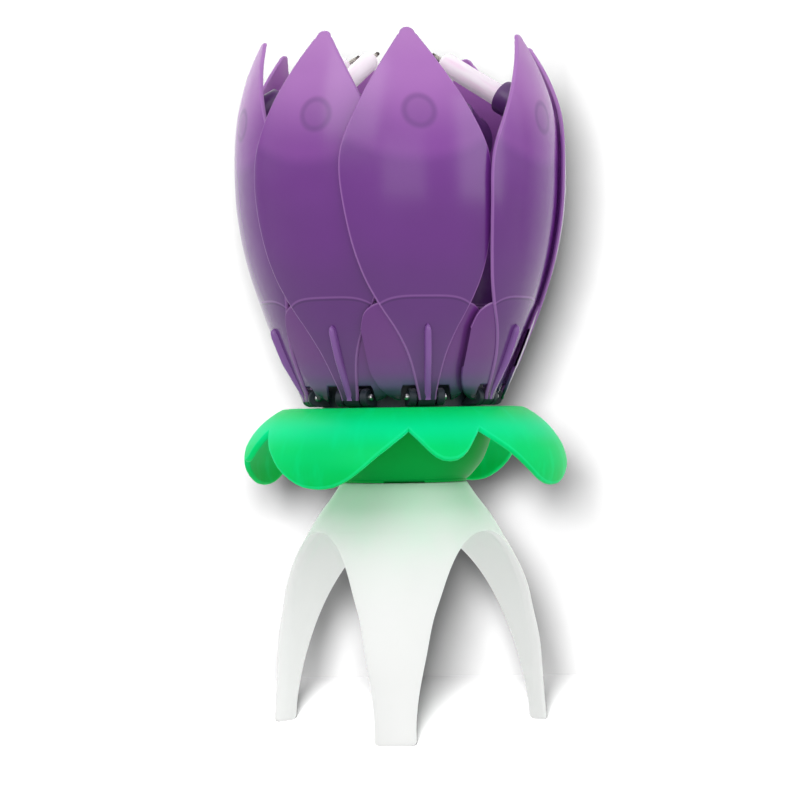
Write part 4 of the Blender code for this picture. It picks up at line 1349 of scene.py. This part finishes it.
@dataclass
class Calyx:
    """The lobed collar and the bowl under it."""

    paints: Paints
    top: float = 0.0633
    wall: float = 0.0012
    flat_radius: float = 0.0237
    radius: float = 0.0323
    droop: float = 0.0148
    inner_radius: float = 0.0162
    rim_rise: float = 0.00015
    flat_steps: int = 10
    drop_steps: int = 26
    small_columns: int = 18
    wide_columns: int = 34
    edge_roundness: float = 0.8
    floor_z: float = 0.0490
    bowl_base: float = 0.0120
    bowl_top: float = 0.0186
    bowl_steps: int = 20
    slot_deg: float = 19.0
    skirt_width: float = 0.0006
    skirt_height: float = 0.0004
    skirt_drop: float = 0.0002
    plug_radius: float = 0.0080
    plug_wall: float = 0.0014
    plug_depth: float = 0.0030
    sides: int = 96
    collar_shares: Table = ((0.0, 0.0), (0.05, 0.16), (0.15, 0.40), (0.26, 0.60), (0.40, 0.78), (0.52, 0.90),
                            (0.75, 1.0), (1.0, 0.95))
    lobe_shares: Table = ((0.0, 1.0), (0.1, 0.99), (0.22, 0.95), (0.36, 0.84), (0.5, 0.67), (0.65, 0.45),
                          (0.8, 0.25), (0.93, 0.09), (1.0, 0.0))
    bowl_shares: Table = ((0.0, 0.0), (0.08, 0.20), (0.30, 0.56), (0.68, 0.85), (1.0, 1.0))
    valleys_deg: tuple[float, ...] = (2, 30, 101, 124, 182, 213, 275, 296, 362)
    valley_share: float = 0.24
    small_share: float = 0.64
    small_deg: float = 40

    def lobe_share(self, azimuth_deg: float, start: float, end: float) -> float:
        """Work out how far down the collar reaches.

        Args:
            azimuth_deg: Where, between two valleys.
            start: The valley before it.
            end: The valley after it.

        Returns:
            The drop as a share of the full droop.
        """
        across = abs(2 * (azimuth_deg - start) / (end - start) - 1)
        reach = self.small_share if end - start < self.small_deg else 1.0
        return self.valley_share + (reach - self.valley_share) * smooth_share(self.lobe_shares, across)

    def collar_line(self, reach: float) -> list[Vector]:
        """Draw the collar's outer face from its inner rim downward.

        Args:
            reach: How far it drops, as a share of the full droop.

        Returns:
            Its points, as (radius, height).
        """
        flats = even(self.inner_radius, self.flat_radius, self.flat_steps)[:-1]
        line = [(flat, self.top + self.rim_rise * math.sin(math.pi * max(i - 4, 0) / 6) ** 2)
                for i, flat in enumerate(flats)]
        width = self.radius - self.flat_radius
        for t in even(0.0, 1.0, self.drop_steps):
            drop = reach * t**1.7
            radius = self.flat_radius + width * smooth_share(self.collar_shares, drop)
            line.append((radius, self.top - self.droop * drop))
        return [Vector(point) for point in line]

    def collar_loop(self, reach: float) -> list[Vector]:
        """Draw a section of the collar, with an even wall and a round edge.

        Args:
            reach: How far it drops, as a share of the full droop.

        Returns:
            Its points all round, as (radius, height).
        """
        line = self.collar_line(reach)
        half = self.wall / 2
        normals = []
        for before, after in zip([line[0], *line], [*line[1:], line[-1]]):
            along = (after - before).normalized()
            normals.append(Vector((-along.y, along.x)))
        end = normals[-1]
        tangent = Vector((end.y, -end.x)) * self.edge_roundness
        edge = [line[-1] - end * half + (end * math.cos(a) + tangent * math.sin(a)) * half
                for a in eased(0, math.pi, EDGE_STEPS)[1:-1]]
        inner = [point - normal * self.wall for point, normal in zip(line, normals)]
        return line + edge + inner[::-1]

    def collar(self) -> Mesh:
        """Build the collar, its columns crowded at the valleys.

        Returns:
            Its mesh.
        """
        skin = Skin()
        rows = []
        end = len(self.collar_line(1.0)) - 1
        for start, stop in zip(self.valleys_deg, self.valleys_deg[1:]):
            columns = self.small_columns if stop - start < self.small_deg else self.wide_columns
            for azimuth in eased(start, stop, columns)[:-1]:
                loop = self.collar_loop(self.lobe_share(azimuth, start, stop))
                marks = [(azimuth / 360, (self.top - p.y) / self.droop, (p - loop[end]).length / MM) for p in loop]
                rows.append(skin.ring([polar(azimuth, p.x, p.y) for p in loop], marks))
        skin.loft([*rows, rows[0]])
        return skin.mesh("collar", 50)

    def bowl(self) -> Mesh:
        """Build the bowl with its floor and plug, and the thin lip over the joint, open at the front.

        Returns:
            Their mesh.
        """
        base, foot = self.bowl_base, self.floor_z
        height = self.top - self.wall / 2 - foot
        outer = [(base + (self.bowl_top - base) * smooth_share(self.bowl_shares, share), foot + height * share)
                 for share in even(1.0, 0.0, self.bowl_steps)]
        inner = [(r - self.wall, z) for r, z in reversed(outer) if z > foot + self.wall]
        low = foot - self.plug_depth
        core = self.plug_radius - self.plug_wall
        plug = rounded_outline([outer[-1], (self.plug_radius, foot), (self.plug_radius, low), (core, low),
                                (core, foot), (0.0, foot)], 0.0003)
        floor = foot + self.wall
        skin = turned([(0.0, floor), (base - 2 * self.wall, floor), *inner, *outer[:-1], *plug], self.sides)
        half = self.skirt_width / 2
        azimuths = even(self.slot_deg, 360 - self.slot_deg, 72)
        lip = ring_wall((base - half, base + half), (foot - self.skirt_drop, foot + self.skirt_height), azimuths)
        skin.add(lip, Matrix.Identity(4))
        return skin.mesh("bowl")

    def build(self) -> None:
        """Show the collar and the bowl."""
        Piece("green_collar", self.collar(), self.paints[Look.COLLAR], "base", Slot.GREEN, ("calyx",)).show()
        Piece("green_bowl", self.bowl(), self.paints[Look.BOWL], "base", Slot.GREEN).show()


@dataclass
class Stand:
    """The milky bell with three legs."""

    paints: Paints
    height: float = 0.0487
    top_radius: float = 0.0124
    foot_radius: float = 0.0302
    wall: float = 0.0016
    plate: float = 0.0014
    plate_gap: float = 0.0002
    socket: float = 0.0083
    arch_height: float = 0.0393
    arch_half_width: float = 0.0238
    arch_rows: int = 46
    top_rows: int = 14
    steps: int = 26
    front_leg_deg: float = -3.6
    foot_round: float = 0.0010
    foot_draw: float = 0.4
    foot_shares: tuple[float, ...] = (0.0, 0.06, 0.18, 0.36, 0.6)
    edge_round: float = 0.0005
    edge_places: tuple[float, ...] = (0.2, 0.4, 0.6, 0.8)
    left_spare_deg: tuple[float, ...] = (1.8, -1.6, 0.0)
    bell_shares: Table = ((0.0, 1.0), (0.17, 0.945), (0.34, 0.87), (0.49, 0.752), (0.58, 0.675), (0.68, 0.552),
                          (0.78, 0.402), (0.88, 0.235), (0.94, 0.11), (1.0, 0.0))

    def radius_at(self, height: float) -> float:
        """Return the outer radius at a height."""
        share = smooth_share(self.bell_shares, height / self.height)
        return self.top_radius + (self.foot_radius - self.top_radius) * share

    def half_angle(self, height: float, radius: float) -> float:
        """Return half the angle that a leg takes at a height, in degrees."""
        share = min(height / self.arch_height, 1.0)
        arch = self.arch_half_width * math.sqrt(max(1 - share**1.6, 0.0))
        return 60.0 - math.degrees(math.asin(min(arch / radius, 0.99)))

    def _edge(self, first: tuple[float, float], second: tuple[float, float], bulge: float) -> Outline:
        """Make the points of a leg's edge.

        Args:
            first: Where it starts, as (angle, radius).
            second: Where it ends.
            bulge: How far it bulges to the right.

        Returns:
            The points between, as (angle, radius).
        """
        found = []
        for t in self.edge_places:
            angle, radius = (a + (b - a) * t for a, b in zip(first, second))
            found.append((angle + math.degrees(bulge / radius) * (1 - abs(2 * t - 1) ** 3), radius))
        return found

    def section(self, leg: int, height: float) -> Outline:
        """Draw a leg's section at a height.

        Args:
            leg: Which leg.
            height: The height.

        Returns:
            Its points as (angle, radius): outer face, edge, inner face, edge.
        """
        drawn = self.foot_round - math.sqrt(self.foot_round**2 - max(self.foot_round - height, 0.0) ** 2)
        full, inward = self.radius_at(height), drawn * self.foot_draw
        bulge = self.edge_round if height < self.arch_height - WELD else 0.0
        spare = self.left_spare_deg[leg] * max(1 - (height / self.arch_height) ** 1.5, 0.0)
        faces = []
        for radius, sign in ((full - inward, 1), (full - self.wall + inward, -1)):
            half = self.half_angle(height, radius)
            inset = math.degrees((bulge + drawn) / radius) if bulge and half > 3 else 0.0
            sweep = [sign * (half - inset) * side for side in even(-1.0, 1.0, self.steps)]
            faces.append([(angle - spare * max(-angle / half, 0.0), radius) for angle in sweep])
        first, second = faces
        return first + self._edge(first[-1], second[0], bulge) + second + self._edge(second[-1], first[0], -bulge)

    def bell(self) -> Mesh:
        """Build the shell, in three sectors that join above the arches.

        Returns:
            Its mesh.
        """
        heights = [self.foot_round * share for share in self.foot_shares]
        heights += [self.arch_height - (self.arch_height - self.foot_round) * t**2.2
                    for t in even(1.0, 0.0, self.arch_rows)[:-1]]
        joined = len(heights)
        heights += even(self.arch_height, self.height, self.top_rows)
        face = self.steps + 1
        second = face + len(self.edge_places)
        skin = Skin()
        for leg in range(3):
            middle = self.front_leg_deg + leg * 120
            rows = []
            for height in heights:
                points = [polar(middle + angle, radius, height) for angle, radius in self.section(leg, height)]
                rows.append(skin.ring(points, [(0.0, height / self.height, 1.0)] * len(points)))
            skin.loft(rows[:joined + 1], 0)
            for below, above in zip(rows[joined:], rows[joined + 1:]):
                skin.bridge(below[:face], above[:face], closed=False)
                skin.bridge(below[second:second + face], above[second:second + face], closed=False)
        return skin.mesh("bell", 45)

    def build(self) -> None:
        """Show the bell and the plate in its top."""
        Piece("milky_stand", self.bell(), self.paints[Look.STAND], "base", Slot.WHITE, ("stand",)).show()
        outer, low = self.top_radius - self.plate_gap, self.height - self.plate
        profile = rounded_outline([(self.socket, self.height), (outer, self.height), (outer, low), (self.socket, low),
                                   (self.socket, self.height)], 0.0003)
        mesh = turned(profile, 72).mesh("stand_plate")
        Piece("stand_plate", mesh, self.paints[Look.STAND], "base", Slot.WHITE).show()


@dataclass
class Hub:
    """The turning cup with its lugs and pins, and what stands in it."""

    paints: Paints
    bud: BudForm = BudForm()
    radius: float = 0.0159
    wall: float = 0.0010
    base_z: float = 0.0599
    floor: float = 0.0008
    rim_z: float = 0.0642
    sides: int = 96
    screen_z: float = 0.0685
    screen_wall: float = 0.0006
    tail_slot: float = 0.0032
    post_radius: float = 0.0054
    post_height: float = 0.0080
    spindle_radius: float = 0.0016
    spindle_z: float = 0.0572
    lug_thickness: float = 0.0015
    pin_radius: float = 0.0006
    pin_length: float = 0.0084
    pin_dome: float = 0.0003
    gap: float = 0.0003
    fountain_radius: float = 0.0040
    fountain_length: float = 0.0620
    fuse_radius: float = 0.0005
    fuse_length: float = 0.0110
    fuse_depth: float = 0.0030

    def cup(self) -> Mesh:
        """Build the cup with its post, its raised rim and the sixteen lugs.

        Returns:
            Its mesh.
        """
        floor = self.base_z + self.floor
        inner = self.radius - self.wall
        socket = self.fountain_radius + self.gap
        top = floor + self.post_height
        profile = rounded_outline([(0.0, floor), (socket, floor), (socket, top), (self.post_radius, top),
                                   (self.post_radius, floor), (inner, floor), (inner, self.rim_z),
                                   (self.radius, self.rim_z), (self.radius, self.base_z),
                                   (self.spindle_radius, self.base_z), (self.spindle_radius, self.spindle_z),
                                   (0.0, self.spindle_z)], 0.0003)
        skin = turned(profile, self.sides)
        reach = self.radius - self.wall / 2 - self.bud.hinge_radius
        knuckle = self.bud.knuckle_radius
        arc = [(knuckle * math.sin(a), -knuckle * math.cos(a)) for a in even(0.0, math.pi, 14)]
        outline = [(reach, -knuckle), *arc, (reach, self.rim_z - self.bud.hinge_z)]
        side = (self.bud.knuckle_length + self.lug_thickness) / 2 + self.gap
        lugs = [plate(outline, self.lug_thickness, self.bud.upright(sign * side, -1)) for sign in (-1, 1)]
        for number in range(1, self.bud.count + 1):
            for part in (self.screen(), *lugs):
                skin.add(part, self.bud.turn(number))
        return skin.mesh("hub_cup")

    def screen(self) -> Skin:
        """Make a stretch of raised rim, which closes the view between two petals' tails.

        Returns:
            Its skin.
        """
        slot_deg = math.degrees(self.tail_slot / 2 / self.radius)
        azimuths = even(slot_deg, 360 / self.bud.count - slot_deg, 12)
        radii = (self.radius - self.screen_wall, self.radius)
        return ring_wall(radii, (self.rim_z - self.wall, self.screen_z), azimuths)

    def pin(self) -> Mesh:
        """Build a hinge pin with domed ends.

        Returns:
            Its mesh.
        """
        dome = [(self.pin_radius * math.sin(a), self.pin_length / 2 - self.pin_dome * (1 - math.cos(a)))
                for a in eased(0, math.pi / 2, 5)]
        profile = [(radius, -z) for radius, z in dome] + dome[::-1]
        return turned(profile, 20, self.bud.lying()).mesh("pin")

    def tube(self) -> Mesh:
        """Build the fountain's rolled tube with its pressed top.

        Returns:
            Its mesh.
        """
        low = self.base_z + self.floor + self.gap
        top = low + self.fountain_length
        radius = self.fountain_radius
        profile = [(0.0, low), (radius - 0.0002, low), (radius, low + 0.0002)]
        profile += [(radius, height) for height in even(low, top, 30)[1:-2]]
        profile += [(radius, top - 0.0006), (radius - 0.0003, top), (radius - 0.0007, top),
                    (radius - 0.0009, top - 0.0012), (0.0013, top - 0.0016), (0.0008, top - 0.0030),
                    (0.0, top - 0.0031)]
        return turned(profile, 48).mesh("tube")

    def fuse(self) -> Mesh:
        """Build the twisted fuse."""
        low = self.base_z + self.floor + 2 * self.gap + self.fountain_length - self.fuse_depth
        return twisted(self.fuse_radius, self.fuse_length, raised(low), 60, 16.0).mesh("fuse", 60)

    def lifting_plate(self) -> Mesh:
        """Build the ring that lifts the tails, with a raised bead under them.

        Returns:
            Its mesh.
        """
        low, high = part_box("pusher_plate")
        inner, outer = self.post_radius + self.gap, self.radius - self.wall - self.gap
        shelf = high.z - 0.0002
        profile = rounded_outline([(inner, high.z), (outer - 0.0016, high.z), (outer - 0.0013, shelf), (outer, shelf),
                                   (outer, low.z), (inner, low.z), (inner, high.z)], 0.00015)
        return turned(profile, self.sides).mesh("lifting_plate")

    def build(self) -> None:
        """Show the hub, the pins, the plate, the fountain and its fuse."""
        paints, body = self.paints, "flower_hub"
        Piece("turning_hub", self.cup(), paints[Look.HUB], body, Slot.PURPLE, ("hub",)).show()
        pin = self.pin()
        for number in range(1, self.bud.count + 1):
            Piece(f"petal_pin_{number}", pin, paints[Look.STEEL], body, Slot.STEEL, (f"hinge_pin_{number}",),
                  self.bud.turn(number)).show()
        Piece("lifting_plate", self.lifting_plate(), paints[Look.WHITE], "pusher", Slot.WHITE, ("pusher_plate",)).show()
        Piece("spark_tube", self.tube(), paints[Look.PAPER], body, Slot.PAPER, ("fountain",)).show()
        Piece("tube_fuse", self.fuse(), paints[Look.YARN], body, Slot.COTTON, ("fuse",)).show()


@dataclass
class Works:
    """The CAD nodes that stay: the music box, the drive and the spring."""

    paints: Paints
    looks: tuple[tuple[Look, tuple[str, ...]], ...] = (
        (Look.WHITE, ("music_box_cover", "motor_pinion", "hub_wheel")), (Look.BOARD, ("circuit_board",)),
        (Look.RESIN, ("melody_chip",)), (Look.BRASS, ("sounder", "battery_strip")),
        (Look.STEEL, ("button_cell_1", "button_cell_2", "motor", "hub_screw", "opening_spring")))

    def dress(self, nodes: dict[str, bpy.types.Object]) -> None:
        """Give each kept node its material.

        Args:
            nodes: The frame's nodes by name.
        """
        for look, names in self.looks:
            for name in names:
                slots = nodes[name].data.materials
                slots.clear()
                slots.append(self.paints[look])
                LOG.info("%s keeps its solid and takes %s", name, self.paints[look].name)


@dataclass(frozen=True)
class Lamp:
    """A square soft lamp."""

    name: str
    place: Colour
    size: float
    watts: float

    def light(self, aim: Vector, receivers: bpy.types.Collection) -> None:
        """Hang the lamp.

        Args:
            aim: The point that it looks at.
            receivers: What it lights.
        """
        data = bpy.data.lights.new(self.name, "AREA")
        data.shape = "SQUARE"
        data.size = self.size
        data.energy = self.watts
        lamp = bpy.data.objects.new(self.name, data)
        bpy.context.scene.collection.objects.link(lamp)
        place = Vector(self.place)
        lamp.matrix_world = Matrix.Translation(place) @ (place - aim).to_track_quat("Z", "Y").to_matrix().to_4x4()
        lamp.light_linking.receiver_collection = receivers


@dataclass
class Studio:
    """White room, soft lamps and the camera at the photographed angle."""

    distance: float = 0.5457
    eye_height: float = 0.0633
    focal_px: float = 2760.0
    frame_px: float = 800.0
    sensor_mm: float = 36.0
    axis_px: float = 3.0
    level_px: float = 8.0
    roll_deg: float = 0.8
    aim: Colour = (0.0, 0.0, 0.07)
    soft_light: float = 0.62
    mirror_fade: Fade = (-0.10, 0.22, 0.35, 1.15)
    floor_reach: float = 6.0
    floor_tone: float = 0.20
    floor_fade: Fade = (0.14, 0.45, 0.0, 1.0)
    bounce: float = 0.80
    backdrop_tone: float = 0.16
    backdrop_fade: Fade = (0.18, 0.34, 0.0, 0.9)
    backdrop_wide: float = 0.60
    backdrop_high: float = 0.45
    backdrop_y: float = 0.105
    grain: float = 0.003
    lamps: tuple[Lamp, ...] = (Lamp("key", (-0.45, -0.85, 0.65), 0.8, 3.9), Lamp("fill", (0.9, -0.45, 0.30), 0.6, 2.1),
                               Lamp("low", (0.15, -0.95, 0.04), 0.5, 0.9), Lamp("back", (-0.25, 0.35, 0.75), 0.4, 1.9))
    shadow_lamps: tuple[Lamp, ...] = (Lamp("backdrop_lamp", (-0.021, -0.56, 0.096), 0.066, 27.5),
                                      Lamp("floor_lamp", (-0.021, -0.56, 0.096), 0.066, 150.0))

    def camera(self) -> None:
        """Set up the level camera."""
        data = bpy.data.cameras.new("camera")
        data.sensor_fit = "HORIZONTAL"
        data.sensor_width = self.sensor_mm
        data.lens = self.focal_px / self.frame_px * self.sensor_mm
        data.shift_x = -self.axis_px / self.frame_px
        data.shift_y = self.level_px / self.frame_px
        data.clip_start = 0.01
        data.clip_end = 20.0
        camera = bpy.data.objects.new("camera", data)
        bpy.context.scene.collection.objects.link(camera)
        level = Matrix.Translation((0, -self.distance, self.eye_height)) @ Matrix.Rotation(math.radians(90), 4, "X")
        camera.matrix_world = level @ Matrix.Rotation(math.radians(-self.roll_deg), 4, "Z")
        bpy.context.scene.camera = camera

    def world(self) -> None:
        """Make it white to the camera, bright above and dimmer below in reflections, and soft light all round."""
        world = bpy.data.worlds.new("white_room")
        world.use_nodes = True
        bpy.context.scene.world = world
        web = Web(world.node_tree)
        shader = world.node_tree.nodes["Background"]
        rays = web.node("ShaderNodeLightPath").outputs
        up = web.height(web.node("ShaderNodeTexCoord").outputs["Generated"])
        mirrored = web.minus(web.step(up, *self.mirror_fade), self.soft_light)
        level = web.plus(web.times(rays["Is Glossy Ray"], mirrored), self.soft_light)
        web.feed(shader.inputs["Color"], WHITE)
        seen = web.larger(rays["Is Camera Ray"], rays["Is Transmission Ray"])
        web.feed(shader.inputs["Strength"], web.larger(seen, level))

    def _matte(self, name: str, tone: float, scale: float) -> tuple[bpy.types.Material, Web, bpy.types.Node]:
        """Start a dull material of a nearly even grey.

        Args:
            name: Name of the material.
            tone: Its grey.
            scale: Scale of its faint grain.

        Returns:
            The material, the web to work in and the shader.
        """
        material = bpy.data.materials.new(name)
        material.use_nodes = True
        web = Web(material.node_tree)
        shader = material.node_tree.nodes["Principled BSDF"]
        grey = web.grey(web.step(web.noise(web.place(), scale), 0.0, 1.0, tone - self.grain, tone + self.grain))
        for socket, value in (("Base Color", grey), ("Roughness", 0.9), ("Specular IOR Level", 0.0),
                              ("Emission Color", WHITE)):
            web.feed(shader.inputs[socket], value)
        return material, web, shader

    def _mix(self, web: Web, factor: object, first: bpy.types.Node, second: bpy.types.Node) -> None:
        """Show the mix of two shaders.

        Args:
            web: The web to work in.
            factor: The share of the second.
            first: The shader at 0.
            second: The shader at 1.
        """
        mixed = web.node("ShaderNodeMixShader", None, Fac=factor)
        web.feed(mixed.inputs[1], first.outputs[0])
        web.feed(mixed.inputs[2], second.outputs[0])
        web.feed(web.tree.nodes["Material Output"].inputs["Surface"], mixed.outputs[0])

    def floor(self) -> bpy.types.Object:
        """Lay a plain white floor that keeps the object's shadow.

        Returns:
            Its sheet.
        """
        material, web, shader = self._matte("white_floor", self.floor_tone, 400.0)
        web.feed(shader.inputs["Emission Strength"], web.step(web.distance(), *self.floor_fade))
        bounce = web.node("ShaderNodeEmission", None, Color=WHITE, Strength=self.bounce)
        self._mix(web, web.node("ShaderNodeLightPath").outputs["Is Camera Ray"], bounce, shader)
        far = self.floor_reach
        places = ((-far, -far), (far, -far), (far, far), (-far, far))
        return self.panel("floor", material, [(x, y, -WELD) for x, y in places])

    def backdrop(self) -> bpy.types.Object:
        """Stand a white panel behind the object, which can be seen through from behind.

        Returns:
            Its sheet.
        """
        material, web, shader = self._matte("white_backdrop", self.backdrop_tone, 200.0)
        rays = web.node("ShaderNodeLightPath").outputs
        lift = web.times(web.step(web.distance(), *self.backdrop_fade), rays["Is Camera Ray"])
        web.feed(shader.inputs["Emission Strength"], lift)
        clear = web.larger(web.node("ShaderNodeNewGeometry").outputs["Backfacing"], rays["Is Shadow Ray"])
        self._mix(web, clear, shader, web.node("ShaderNodeBsdfTransparent"))
        wide, high, y = self.backdrop_wide, self.backdrop_high, self.backdrop_y
        return self.panel("backdrop", material, [(-wide, y, 0.0), (wide, y, 0.0), (wide, y, high), (-wide, y, high)])

    def panel(self, name: str, material: bpy.types.Material, places: Sequence[Colour]) -> bpy.types.Object:
        """Show a flat sheet of the room.

        Args:
            name: Name of the sheet.
            material: Its material.
            places: Its corners, counterclockwise from the side that is seen.

        Returns:
            The sheet's object.
        """
        mesh = bpy.data.meshes.new(name)
        mesh.from_pydata(places, [], [tuple(range(len(places)))])
        mesh.materials.append(material)
        sheet = bpy.data.objects.new(name, mesh)
        bpy.context.scene.collection.objects.link(sheet)
        return sheet

    def build(self) -> None:
        """Set up the view, the room and the lamps."""
        bpy.context.scene.view_settings.view_transform = "Standard"
        self.camera()
        self.world()
        sheets = {"floor": self.floor(), "backdrop": self.backdrop()}
        aim = Vector(self.aim)
        without = bpy.data.collections.new("without_room")
        for number, sheet in enumerate(sheets.values()):
            without.objects.link(sheet)
            without.collection_objects[number].light_linking.link_state = "EXCLUDE"
        for lamp in self.lamps:
            lamp.light(aim, without)
        for lamp in self.shadow_lamps:
            name = lamp.name.removesuffix("_lamp")
            only = bpy.data.collections.new(f"{name}_only")
            only.objects.link(sheets[name])
            lamp.light(aim, only)


def corners(box: object) -> list[list[float]]:
    """Return a box as plain lists of numbers."""
    return [[float(value) for value in corner] for corner in box]


def main() -> None:
    """Build the studio and the object, piece by piece."""
    logging.basicConfig(level=logging.INFO, format="%(message)s")
    for thing in list(bpy.data.objects):
        bpy.data.objects.remove(thing)
    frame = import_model()
    Studio().build()
    effects = Effects()
    paints: Paints = {look: look.value.build(effects) for look in Look}
    for assembly in (Stand(paints), Calyx(paints), Hub(paints), Bud(paints)):
        assembly.build()
    Works(paints).dress(frame["nodes"])


if __name__ == "__main__":
    main()
